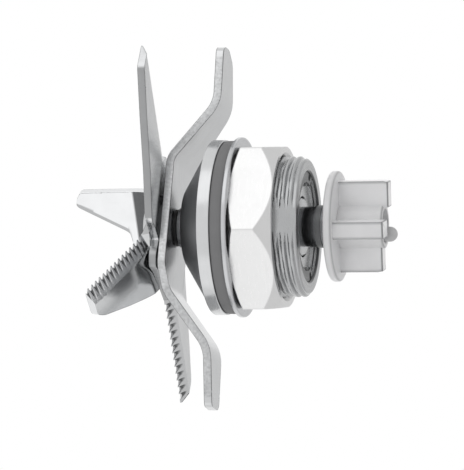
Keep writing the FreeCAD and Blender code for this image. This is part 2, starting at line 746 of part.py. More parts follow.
def build_upper_blade(low):
    """One arm bent straight up, the other raised a little, ground and serrated."""
    thick = size("blade_height")
    margin = size("blank_margin")
    bends = [(size("upright_start"), size("upright_radius"), size("upright_bend_angle"))]
    reach = max(along for along, aside in UPRIGHT_ARM) + margin
    upright = bent_strip(bends, UPRIGHT_ARM[0][0], reach, thick, reach)
    front = []
    for along, aside in UPRIGHT_ARM:
        rise = fold(bends, along)[0].z if along > size("upright_start") else -thick
        front.append(FreeCAD.Vector(-reach, aside, rise))
    gate = Part.Face(Part.makePolygon(front + front[:1])).extrude(FreeCAD.Vector(2 * reach, 0, 0))
    upright = grind(upright.common(gate), bends, UPRIGHT_EDGE, size("upright_bevel"), thick, under=False)

    bends = [(size("raised_start"), size("raised_radius"), size("raised_bend_angle"))]
    reach = max(along for along, aside in RAISED_ARM) + margin
    teeth = (size("raised_tooth_count"), size("raised_tooth_pitch"), size("raised_tooth_start"))
    raised = bent_strip(bends, RAISED_ARM[0][0], reach, thick, reach)
    raised = raised.common(prism(plan_of(bends, RAISED_ARM), -reach, reach))
    raised = grind(raised, bends, RAISED_EDGE, size("raised_bevel"), thick, teeth=teeth)
    upper = turned(upright, size("upright_arm_angle"), 0).fuse(turned(raised, size("raised_arm_angle"), 0))
    add_blade("upper_blade", upper, low + thick / 2)


def build_blades():
    """Three sheet-steel blades stacked on the tang with a spacer between the lower two."""
    seat = "shaft_top + shoulder_washer_height"
    spacer = f"{seat} + lower_blade_height"
    middle = f"{spacer} + blade_spacer_height"
    build_lower_blade(number(seat))
    revolved("blade_spacer", ring_corners("tang_dia / 2", "blade_spacer_dia / 2", spacer, middle))
    build_middle_blade(number(middle))
    build_upper_blade(number(f"{middle} + blade_height"))


build_housing()
build_clamp()
build_bearing_seats()
build_shaft()
build_coupling()
build_blades()
doc.recompute()

NODES = [
    "bearing_housing", "jar_gasket", "jar_washer", "jar_nut", "retaining_ring", "shaft_seal",
    "lower_outer_race", "lower_inner_race", "lower_balls", "lower_cage", "lower_shields",
    "upper_outer_race", "upper_inner_race", "upper_balls", "upper_cage", "upper_shields",
    "outer_spacer", "inner_spacer", "drive_shaft", "shoulder_washer", "shaft_ring",
    "lower_blade", "blade_spacer", "middle_blade", "upper_blade", "blade_screw",
    "drive_coupling", "coupling_pin",
]

for item in doc.Objects:
    if "Invalid" in item.State or "Error" in item.State:
        raise RuntimeError(f"{item.Name} did not recompute: {item.State}")

os.makedirs("parts", exist_ok=True)
for node in NODES:
    shape = doc.getObject(node).Shape
    if shape.isNull() or not shape.isValid():
        raise RuntimeError(f"{node} has no valid shape")
    shape.exportStep(f"parts/{node}.step")
    box = shape.optimalBoundingBox()
    reach = f"z {box.ZMin:.2f} to {box.ZMax:.2f}"
    print(f"{node}: {len(shape.Solids)} solids, {reach}, volume {shape.Volume:.1f}")
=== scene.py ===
"""Looks of a blender blade assembly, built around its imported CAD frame.

Lengths are in metres in the row frame: +Z along the shaft toward the blades, with
the origin on the axis in the plane of the flange's underside. Sizes named in the
classes are in millimetres and are turned to metres where a mesh is made.
"""

from __future__ import annotations

import json
import logging
import math
from dataclasses import dataclass
from enum import Enum
from typing import Any, Callable, Sequence

import bmesh
import bpy
import numpy as np
from mathutils import Matrix, Vector

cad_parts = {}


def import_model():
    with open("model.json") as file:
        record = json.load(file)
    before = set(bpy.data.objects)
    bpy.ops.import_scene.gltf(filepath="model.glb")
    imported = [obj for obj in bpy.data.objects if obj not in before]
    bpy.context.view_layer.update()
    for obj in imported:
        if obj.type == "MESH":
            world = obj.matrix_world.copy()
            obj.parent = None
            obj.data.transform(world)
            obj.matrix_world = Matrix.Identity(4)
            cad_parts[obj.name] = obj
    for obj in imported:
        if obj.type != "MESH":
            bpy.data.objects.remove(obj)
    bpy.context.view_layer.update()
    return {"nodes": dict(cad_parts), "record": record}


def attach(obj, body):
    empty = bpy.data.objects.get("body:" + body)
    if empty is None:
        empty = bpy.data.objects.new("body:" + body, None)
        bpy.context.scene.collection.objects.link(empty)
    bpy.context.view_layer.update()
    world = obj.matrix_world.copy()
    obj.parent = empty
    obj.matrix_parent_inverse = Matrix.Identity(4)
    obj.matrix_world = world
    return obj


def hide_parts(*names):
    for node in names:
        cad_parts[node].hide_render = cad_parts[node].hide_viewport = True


LOG = logging.getLogger("blade_assembly")
MM = 0.001
Array = np.ndarray
Corners = Sequence[tuple[float, float]]
Bends = Sequence[tuple[float, float, float]]
Node = bpy.types.Node
Socket = bpy.types.NodeSocket
Tree = bpy.types.NodeTree

# Nearly all values of a noise texture lie in this span
NOISE_SPAN = {"From Min": 0.3, "From Max": 0.7}
# Colour drifts over about 4 mm on metal and 3 mm on mouldings
BLOTCHES_PER_M = 260.0
MOTTLES_PER_M = 300.0
# A torn edge's grain is about 0.1 mm, too fine to show, so it is drawn five times as coarse
TORN_MM = 0.5
# Tool marks run this many times longer along a blade than across it
SHEET_STRETCH = 25.0


# Colour and node helpers


def linear(hex_colour: str) -> tuple[float, float, float, float]:
    """Turn an sRGB hex colour into linear RGBA.

    Args:
        hex_colour: Six hex digits, such as "C8C9CA".

    Returns:
        Linear red, green and blue with alpha 1.
    """
    values = [int(hex_colour[place : place + 2], 16) / 255 for place in (0, 2, 4)]
    done = [v / 12.92 if v <= 0.04045 else ((v + 0.055) / 1.055) ** 2.4 for v in values]
    return (done[0], done[1], done[2], 1.0)


def add_node(
    tree: Tree,
    kind: str,
    settings: dict[str, Any] | None = None,
    links: dict[str | int, Socket] | None = None,
) -> Node:
    """Add one shader node with its settings and links.

    Args:
        tree: The node tree that gets the node.
        kind: The node's type, such as "ShaderNodeMath".
        settings: Node properties by name, or input values by socket name or number.
        links: Output sockets to join to inputs, by input name or number.

    Returns:
        The new node.
    """
    node = tree.nodes.new(kind)
    for name, value in (settings or {}).items():
        if isinstance(name, str) and hasattr(node, name):
            setattr(node, name, value)
        else:
            node.inputs[name].default_value = value
    for name, socket in (links or {}).items():
        tree.links.new(socket, node.inputs[name])
    return node


def new_tree(name: str) -> tuple[bpy.types.Material, Tree, Node]:
    """A material with a Principled shader joined to its output.

    Args:
        name: The material's name.

    Returns:
        The material, its node tree and the Principled node.
    """
    material = bpy.data.materials.new(name)
    material.use_nodes = True
    tree = material.node_tree
    tree.nodes.clear()
    shader = add_node(tree, "ShaderNodeBsdfPrincipled")
    add_node(tree, "ShaderNodeOutputMaterial", links={"Surface": shader.outputs[0]})
    return material, tree, shader


def varied_colour(
    tree: Tree, hex_colour: str, place: Socket, per_metre: float, detail: float, share: float
) -> Socket:
    """A colour that a noise darkens by up to a share of itself.

    Args:
        tree: The node tree that gets the nodes.
        hex_colour: The lightest colour as sRGB hex.
        place: Where the noise is sampled, in metres.
        per_metre: How often the noise changes in a metre.
        detail: Number of finer layers in the noise.
        share: Share of the colour that the darkest places lose.

    Returns:
        The output socket with the colour.
    """
    noise = add_node(tree, "ShaderNodeTexNoise", {"Scale": per_metre, "Detail": detail}, {0: place})
    limits = {**NOISE_SPAN, "To Min": 1 - share, "To Max": 1.0}
    level = add_node(tree, "ShaderNodeMapRange", limits, {0: noise.outputs[0]})
    settings = {"data_type": "RGBA", "blend_type": "MULTIPLY", 0: 1.0, 6: linear(hex_colour)}
    return add_node(tree, "ShaderNodeMix", settings, {7: level.outputs[0]}).outputs[2]


class Grain(Enum):
    """Which way the tool marks of a metal run."""

    SHEET = "along the sheet"
    TURNED = "round the axis"


@dataclass(frozen=True)
class Metal:
    """A bare metal with tool marks in colour, roughness and bump.

    Attributes:
        name: Metal and process.
        colour: Reflected colour as sRGB hex.
        roughness: Middle roughness.
        spread: How far the roughness varies each way.
        grain: Direction of the tool marks.
        mark_mm: Spacing of the tool marks in mm.
        depth_mm: Depth of the marks in the bump, in mm.
        blotch: Share by which the colour varies over a few mm.
        mark_colour: Colour where the mesh's mark attribute is 1: sheared edges and dull bevels, and painted
            shade in scallop hollows, on a bent arm, on a cone and in a bore's mouth.
        mark_roughness: Roughness there.
        torn: Share by which that colour varies over half a millimetre.
    """

    name: str
    colour: str
    roughness: float
    spread: float
    grain: Grain
    mark_mm: float
    depth_mm: float = 0.002
    blotch: float = 0.06
    mark_colour: str = ""
    mark_roughness: float = 0.4
    torn: float = 0.15

    def marks_at(self, tree: Tree, place: Socket) -> Socket:
        """Where the noise of the tool marks is sampled.

        Round the axis the marks follow radius and height only. Along a sheet they follow its
        own flat pattern in millimetres, stretched along the blade.

        Args:
            tree: The material's node tree.
            place: The place in the object, in metres.

        Returns:
            The output socket with the place to sample.
        """
        if self.grain is Grain.TURNED:
            parts = add_node(tree, "ShaderNodeSeparateXYZ", links={0: place}).outputs
            flat = add_node(tree, "ShaderNodeCombineXYZ", links={0: parts[0], 1: parts[1]})
            radius = add_node(tree, "ShaderNodeVectorMath", {"operation": "LENGTH"}, {0: flat.outputs[0]})
            ring = {0: radius.outputs["Value"], 1: parts[2]}
            return add_node(tree, "ShaderNodeCombineXYZ", links=ring).outputs[0]
        flat = add_node(tree, "ShaderNodeUVMap", {"uv_map": "sheet"})
        scale = {"Scale": (MM / SHEET_STRETCH, MM, 1.0)}
        return add_node(tree, "ShaderNodeMapping", scale, {0: flat.outputs[0]}).outputs[0]

    def build(self) -> bpy.types.Material:
        """Make the metal's material.

        Returns:
            The new material.
        """
        material, tree, shader = new_tree(self.name)
        place = add_node(tree, "ShaderNodeTexCoord").outputs["Object"]
        spacing = {"Scale": 1 / (self.mark_mm * MM), "Detail": 4.0}
        marks = add_node(tree, "ShaderNodeTexNoise", spacing, {0: self.marks_at(tree, place)}).outputs[0]
        limits = {"To Min": self.roughness - self.spread, "To Max": self.roughness + self.spread}
        rough = add_node(tree, "ShaderNodeMapRange", {**NOISE_SPAN, **limits}, {0: marks}).outputs[0]
        colour = varied_colour(tree, self.colour, place, BLOTCHES_PER_M, 3.0, self.blotch)
        if self.mark_colour:
            mark = add_node(tree, "ShaderNodeAttribute", {"attribute_name": "mark"}).outputs["Fac"]
            marked = varied_colour(tree, self.mark_colour, place, 1 / (TORN_MM * MM), 3.0, self.torn)
            mixed = {0: mark, 6: colour, 7: marked}
            colour = add_node(tree, "ShaderNodeMix", {"data_type": "RGBA"}, mixed).outputs[2]
            settings = {"data_type": "FLOAT", 3: self.mark_roughness}
            rough = add_node(tree, "ShaderNodeMix", settings, {0: mark, 2: rough}).outputs[0]
        height = {"Strength": 1.0, "Distance": self.depth_mm * MM}
        bump = add_node(tree, "ShaderNodeBump", height, {"Height": marks})
        shader.inputs["Metallic"].default_value = 1.0
        tree.links.new(colour, shader.inputs["Base Color"])
        tree.links.new(rough, shader.inputs["Roughness"])
        tree.links.new(bump.outputs[0], shader.inputs["Normal"])
        return material


@dataclass(frozen=True)
class Moulded:
    """A moulded rubber or plastic with a fine moulded skin.

    Attributes:
        name: Material and process.
        colour: Body colour as sRGB hex.
        roughness: Surface roughness.
        skin_mm: Grain size of the moulded skin in mm.
        depth_mm: Depth of that grain in mm.
        mottle: Share by which the colour varies over a few mm.
        clear: Share of light that passes through.
        ior: Index of refraction.
        rim_shade_colour: Colour where the mesh's mark attribute is 1: painted shade on the rim of a clear
            piece.
    """

    name: str
    colour: str
    roughness: float
    skin_mm: float
    depth_mm: float
    mottle: float = 0.05
    clear: float = 0.0
    ior: float = 1.5
    rim_shade_colour: str = ""

    def build(self) -> bpy.types.Material:
        """Make the moulded material.

        Returns:
            The new material.
        """
        material, tree, shader = new_tree(self.name)
        place = add_node(tree, "ShaderNodeTexCoord").outputs["Object"]
        grain = {"Scale": 1 / (self.skin_mm * MM), "Detail": 3.0}
        skin = add_node(tree, "ShaderNodeTexNoise", grain, {0: place})
        colour = varied_colour(tree, self.colour, place, MOTTLES_PER_M, 2.0, self.mottle)
        # The rims' mark colour is a painted shade
        if self.rim_shade_colour:
            mark = add_node(tree, "ShaderNodeAttribute", {"attribute_name": "mark"}).outputs["Fac"]
            settings = {"data_type": "RGBA", 7: linear(self.rim_shade_colour)}
            colour = add_node(tree, "ShaderNodeMix", settings, {0: mark, 6: colour}).outputs[2]
        height = {"Strength": 1.0, "Distance": self.depth_mm * MM}
        bump = add_node(tree, "ShaderNodeBump", height, {"Height": skin.outputs[0]})
        shader.inputs["Roughness"].default_value = self.roughness
        shader.inputs["IOR"].default_value = self.ior
        shader.inputs["Transmission Weight"].default_value = self.clear
        tree.links.new(colour, shader.inputs["Base Color"])
        tree.links.new(bump.outputs[0], shader.inputs["Normal"])
        return material


# Mesh helpers

# Points closer than this, in metres, are one
MERGE = 2e-6
# A rounding takes at most this share of a run, so that two on one run never meet
ROUNDING_SHARE = 0.45
ROUNDING_POINTS = 5


def surface(
    name: str,
    points: Array,
    around: bool = False,
    along: bool = False,
    sharp_deg: float = 30.0,
    uv: Array | None = None,
    mark: Array | None = None,
) -> bpy.types.Object:
    """Put a grid of points into a mesh of quads, with points that coincide merged.

    Args:
        name: The piece's name.
        points: Array of shape (rows, columns, 3) in mm, wound so that row step cross
            column step points outward.
        around: Whether the last column joins the first.
        along: Whether the last row joins the first.
        sharp_deg: Edges that turn by more than this are drawn sharp.
        uv: Optional array of shape (rows, columns, 2) of flat places in mm.
        mark: Optional array of shape (rows, columns), 1 on sheared edges and on the places where shade is
            painted, such as moulded rims, scallop hollows and a bore's mouth.

    Returns:
        The new object, at the frame's origin.
    """
    rows, columns = points.shape[:2]
    row_at = np.arange(rows if along else rows - 1)
    column_at = np.arange(columns if around else columns - 1)
    a, b = np.meshgrid(row_at, column_at, indexing="ij")
    next_a, next_b = (a + 1) % rows, (b + 1) % columns
    quads = np.stack(
        [a * columns + b, next_a * columns + b, next_a * columns + next_b, a * columns + next_b], axis=-1
    ).reshape(-1, 4)
    mesh = bpy.data.meshes.new(name)
    mesh.from_pydata((points.reshape(-1, 3) * MM).tolist(), [], quads.tolist())
    if uv is not None:
        layer = mesh.uv_layers.new(name="sheet")
        layer.data.foreach_set("uv", uv.reshape(-1, 2)[quads.reshape(-1)].astype(np.float32).ravel())
    if mark is not None:
        shown = mesh.attributes.new("mark", "FLOAT", "POINT")
        shown.data.foreach_set("value", np.ascontiguousarray(mark, dtype=np.float32).ravel())
    merged = bmesh.new()
    merged.from_mesh(mesh)
    bmesh.ops.remove_doubles(merged, verts=merged.verts, dist=MERGE)
    bmesh.ops.dissolve_degenerate(merged, edges=merged.edges, dist=MERGE / 2)
    merged.to_mesh(mesh)
    merged.free()
    mesh.validate()
    mesh.shade_smooth()
    mesh.set_sharp_from_angle(angle=math.radians(sharp_deg))
    piece = bpy.data.objects.new(name, mesh)
    bpy.context.scene.collection.objects.link(piece)
    return piece


def lathe_profile(corners: Corners, fillet: float = 0.0, step: float = 0.4) -> Array:
    """Round a closed profile's corners and space points along it.

    Each corner is replaced by a quadratic arc between the points fillet away on its two
    sides, and each straight run is cut into equal pieces no longer than step.

    Args:
        corners: Radius and height of each corner in mm, in order round the profile.
        fillet: Distance from a corner at which its rounding starts, in mm.
        step: Longest piece of a straight run, in mm.

    Returns:
        Array of shape (points, 2).
    """
    ends = np.array(corners, float)
    found: list[Array] = []
    for index, corner in enumerate(ends):
        before, after = ends[index - 1] - corner, ends[(index + 1) % len(ends)] - corner
        before_long, after_long = float(np.linalg.norm(before)), float(np.linalg.norm(after))
        reach = min(fillet, ROUNDING_SHARE * before_long, ROUNDING_SHARE * after_long)
        start = corner + before / before_long * reach
        end = corner + after / after_long * reach
        share = np.linspace(0, 1, ROUNDING_POINTS if fillet > 0 else 1)[:, None]
        arc = (1 - share) ** 2 * start + 2 * share * (1 - share) * corner + share**2 * end
        found.append(arc if fillet > 0 else corner[None])
    filled: list[Array] = []
    for index, arc in enumerate(found):
        following = found[(index + 1) % len(found)][0]
        filled.append(arc)
        count = int(np.linalg.norm(following - arc[-1]) // step)
        share = (np.arange(1, count + 1) / (count + 1))[:, None]
        filled.append(arc[-1] + share * (following - arc[-1]))
    return np.concatenate(filled)


def lathe(
    name: str,
    profile: Array,
    segments: int = 192,
    warp: Callable[[Array, Array, Array], Array] | None = None,
    sharp_deg: float = 30.0,
    mark: Array | None = None,
    offset: float = 0.0,
) -> bpy.types.Object:
    """Carry a closed profile round the Z axis.

    A point is (offset + r cos a, r sin a, z), with r from the profile or from warp.

    Args:
        name: The piece's name.
        profile: Radius and height of each point in mm, anticlockwise with radius to the right.
        segments: Stations round the axis.
        warp: Optional function of radius, height and angle arrays that gives new radii.
        sharp_deg: Edges that turn by more than this are drawn sharp.
        mark: Optional value of the "mark" attribute at each profile point.
        offset: How far along X the piece's own axis stands from Z.

    Returns:
        The new object.
    """
    angle = np.linspace(0, math.tau, segments, endpoint=False)[:, None]
    radius = np.broadcast_to(profile[:, 0][None], (segments, len(profile)))
    height = np.broadcast_to(profile[:, 1][None], (segments, len(profile)))
    if warp is not None:
        radius = warp(radius, height, np.broadcast_to(angle, radius.shape))
    points = np.stack([offset + radius * np.cos(angle), radius * np.sin(angle), height], axis=-1)
    shown = None if mark is None else np.broadcast_to(mark[None], radius.shape)
    return surface(name, points, around=True, along=True, sharp_deg=sharp_deg, mark=shown)


def near_corners(profile: Array, corners: Corners, reach: float) -> Array:
    """Mark of each profile point: 1 within 0.2 of reach from a corner, 0 beyond 1.2 of it."""
    gaps = np.linalg.norm(profile[:, None] - np.array(corners)[None], axis=-1).min(axis=1)
    return np.clip(1.2 - gaps / reach, 0, 1)


def within(place: Array, span: tuple[float, float], fade_in: float, fade_out: float) -> Array:
    """1 inside a span, rising over fade_in after its start and falling over fade_out before its end."""
    return np.clip((place - span[0]) / fade_in, 0, 1) * np.clip((span[1] - place) / fade_out, 0, 1)


def dress(piece: bpy.types.Object, material: bpy.types.Material) -> None:
    """Give every slot of a piece the material.

    Args:
        piece: The piece or CAD node.
        material: Its finish.
    """
    if not piece.data.materials:
        piece.data.materials.append(material)
    for place in range(len(piece.data.materials)):
        piece.data.materials[place] = material


def mount(
    piece: bpy.types.Object, material: bpy.types.Material, body: str, node: str
) -> None:
    """Dress a piece, make it ride on a body and stand for a CAD node.

    Args:
        piece: The new piece.
        material: Its finish.
        body: Name of the CAD body it moves with.
        node: CAD node that it replaces, whole or in part.
    """
    dress(piece, material)
    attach(piece, body)
    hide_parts(node)
    LOG.info("%s rides on %s", piece.name, body)


# Finishes of the real pieces. Their tool marks and moulded grain are really finer than a
# tenth of a millimetre, too fine to show, so they are drawn 0.3 to 0.8 mm apart.

# Ground sheet reflects its surroundings softly; its sheared edges are torn, so they are
# duller, rougher and faintly speckled.
BLADE_STEEL = Metal(
    "ground stainless sheet", "CDCECF", 0.20, 0.04, Grain.SHEET, 0.35, 0.001, 0.06,
    mark_colour="CCCDCE", mark_roughness=0.34, torn=0.28,
)
# Sharpened sheet: bright ground faces; its mark colour darkens the torn sheared edges and is painted shade in
# the scallops' hollows.
EDGED_STEEL = Metal(
    "sharpened stainless sheet", "CFD0D1", 0.20, 0.04, Grain.SHEET, 0.35, 0.001, 0.06,
    mark_colour="666768", mark_roughness=0.36, torn=0.12,
)
# The top blade is buffed after grinding, so its faces are the brightest of the three. Its mark colour darkens
# the torn edges and the dull bevel, and is painted shade in the scallops' hollows and on the bend.
BUFFED_STEEL = Metal(
    "buffed stainless sheet", "E6E7E8", 0.18, 0.04, Grain.SHEET, 0.35, 0.001, 0.05,
    mark_colour="666768", mark_roughness=0.36, torn=0.12,
)
# A fine-turned rim is bright; the cone behind it is left rougher from the lathe, and its darker colour is
# painted shade under the blades.
RIM_STEEL = Metal(
    "fine-turned stainless steel", "CDCECF", 0.22, 0.04, Grain.TURNED, 0.30, 0.0008,
    mark_colour="9A9B9D", mark_roughness=0.42, torn=0.05,
)
# Threads come off the die bright on their crests. The barrel is drawn darker than the rim, a painted shade on
# the threads, and its bore's mouth is painted near black, a painted shade in the recess.
THREAD_STEEL = Metal(
    "die-cut stainless thread", "B0B1B2", 0.26, 0.05, Grain.TURNED, 0.40, 0.0008, 0.08,
    mark_colour="5C5D5E", mark_roughness=0.30, torn=0.10,
)
# Milled and tumbled, the nut is almost white where it meets the light.
NUT_STEEL = Metal("milled and tumbled steel", "E0E0E0", 0.30, 0.04, Grain.TURNED, 0.45, 0.0006, 0.03)
# Stamped and rolled, with a bright broken edge.
WASHER_STEEL = Metal("stamped steel", "C4C5C7", 0.24, 0.05, Grain.TURNED, 0.35, 0.0010)
# Ground and lapped: even grey with crisp edges.
BEARING_STEEL = Metal("ground bearing steel", "C6C7C8", 0.24, 0.04, Grain.TURNED, 0.30, 0.0006)
# Hardened, ground and oiled, drawn dark grey with narrow bright lines.
SHAFT_STEEL = Metal("hardened and oiled shaft steel", "6C6D6F", 0.20, 0.03, Grain.TURNED, 0.35, 0.0006)
# Phosphate leaves the spring ring dark and matt.
SPRING_STEEL = Metal("phosphated spring steel", "6A6B6C", 0.34, 0.05, Grain.TURNED, 0.40, 0.001)
# Moulded rubber scatters light evenly and shows a fine powdery skin.
GREY_RUBBER = Moulded("moulded grey rubber", "787879", 0.62, 0.35, 0.006, 0.06)
BLACK_RUBBER = Moulded("moulded black rubber", "1E1E1F", 0.55, 0.35, 0.01)
# A milky clear plastic: pale faces, and rims painted dark, a painted shade for the light that leaves by the
# edge.
COUPLING_PLASTIC = Moulded(
    "moulded milky polycarbonate", "F0F0F1", 0.28, 0.8, 0.003, 0.05, 0.25, 1.58, "77787A"
)
# The pin's end is the same plastic left rough by its gate.
PIN_PLASTIC = Moulded("rough moulded polycarbonate", "BCBCBD", 0.5, 0.5, 0.03, 0.25, 0.0, 1.58)


# Length in mm over which a bevel runs in at its inner end
RUN_IN = 1.2
# Depth of a scallop in mm at which its painted shade is full, and least depth of grinding that counts
FULL_SHADE_DEPTH = 0.10
LEAST_GROUND = 0.02
# Length of each blade's tips in mm whose sheared edges are left undarkened, a painted highlight
TIP = 2.6
# Lengths in mm over which a change of finish fades, and over which the bend's painted shade begins
FADE = 0.3
BEND_SHADE_FADE = 2.5
# Where nothing is ground, the section's inner line lies this share of the way to the middle
PLAIN_INNER = 0.25
# Where a blade's section is taken: widest and least gap in mm, how often in each bend,
# run-in and scallop, and how far from a tip in mm
WIDEST_GAP, LEAST_GAP = 0.8, 0.003
BEND_STATIONS, RUN_IN_STATIONS, SCALLOP_STATIONS = 25, 8, 16
TIP_STATIONS = (0.0, 0.004, 0.015, 0.035, 0.06, 0.1, 0.15, 0.22, 0.3, 0.4, 0.5)
# Places of the section's points between two of its four lines
SECTION_PLACES = (0.0, 0.04, 0.2, 0.4, 0.6, 0.8, 0.96)


@dataclass(frozen=True)
class Ground:
    """A leading edge ground to a bevel, with or without scallops.

    Attributes:
        side: +1 or -1, the side of t on which the edge lies.
        first: Start of the edge line as (s, t) in mm.
        last: Its end.
        width: Width of the bevel, square to the edge, in mm.
        on_top: Whether the top face is ground, not the underside.
        dull: How dull the whole bevel is left, from 0 to 1.
        share: Part of the sheet's thickness that the bevel takes at the edge.
        count: Number of scallops.
        start: Distance of the first scallop from the axis, along the arm.
        pitch: Distance from scallop to scallop, along the arm.
        radius: Radius of the cutter that makes a scallop.
        depth: Depth of a scallop at the edge, square to the bevel.
        reach: How far in from the edge a scallop runs out.
    """

    side: int
    first: tuple[float, float]
    last: tuple[float, float]
    width: float
    on_top: bool = False
    dull: float = 0.0
    share: float = 1.0
    count: int = 0
    start: float = 0.0
    pitch: float = 1.0
    radius: float = 0.75
    depth: float = 0.5
    reach: float = 2.2

    def lines(self, s: Array, t: Array) -> tuple[Array, Array, float]:
        """Where flat places lie by the edge line.

        Args:
            s: Flat distance along the plate in mm.
            t: Flat distance across it.

        Returns:
            Distance along the edge line, distance in from it, and the line's share of s.
        """
        along = np.array(self.last) - np.array(self.first)
        along = along / np.linalg.norm(along)
        square = np.array([-along[1], along[0]]) * self.side * math.copysign(1.0, along[0])
        place = (s - self.first[0]) * along[0] + (t - self.first[1]) * along[1]
        inward = -((s - self.first[0]) * square[0] + (t - self.first[1]) * square[1])
        return place, inward, abs(float(along[0]))

    def bite(self, s: Array, t: Array) -> Array:
        """Depth of the scallops at flat places, square to the bevel.

        Each is its cutter's sagitta, the root of radius squared less gap squared, lowered
        until it reaches its depth at the edge and nothing at its reach.

        Args:
            s: Flat distance along the plate in mm.
            t: Flat distance across it.

        Returns:
            The depth in mm, 0 between scallops.
        """
        if not self.count:
            return np.zeros_like(s)
        place, inward, share = self.lines(s, t)
        pitch = self.pitch / share
        centre = (self.start - abs(self.first[0])) / share
        nearest = centre + np.clip(np.round((place - centre) / pitch), 0, self.count - 1) * pitch
        sagitta = np.sqrt(np.clip(self.radius**2 - (place - nearest) ** 2, 0, None)) - self.radius
        return np.clip(sagitta + self.depth * (1 - np.clip(inward, 0, None) / self.reach), 0, None)

    def rise(self, s: Array, t: Array, thick: float) -> Array:
        """How far the ground face has come through the sheet at flat places.

        The bevel's plane rises from nothing at its inner line to its share of the thickness
        at the edge. A scallop adds its depth over the cosine of the bevel's slope.

        Args:
            s: Flat distance along the plate in mm.
            t: Flat distance across it.
            thick: Sheet thickness.

        Returns:
            The height in mm, below 0 where nothing is ground.
        """
        inward = self.lines(s, t)[1]
        fall = thick * self.share
        plane = fall * (1 - inward / self.width)
        deeper = self.bite(s, t) * math.hypot(self.width, fall) / self.width
        begun = np.clip((np.abs(s) - abs(self.first[0]) + RUN_IN) / RUN_IN, 0, 1)
        return (plane + deeper) * begun - thick * (1 - begun)


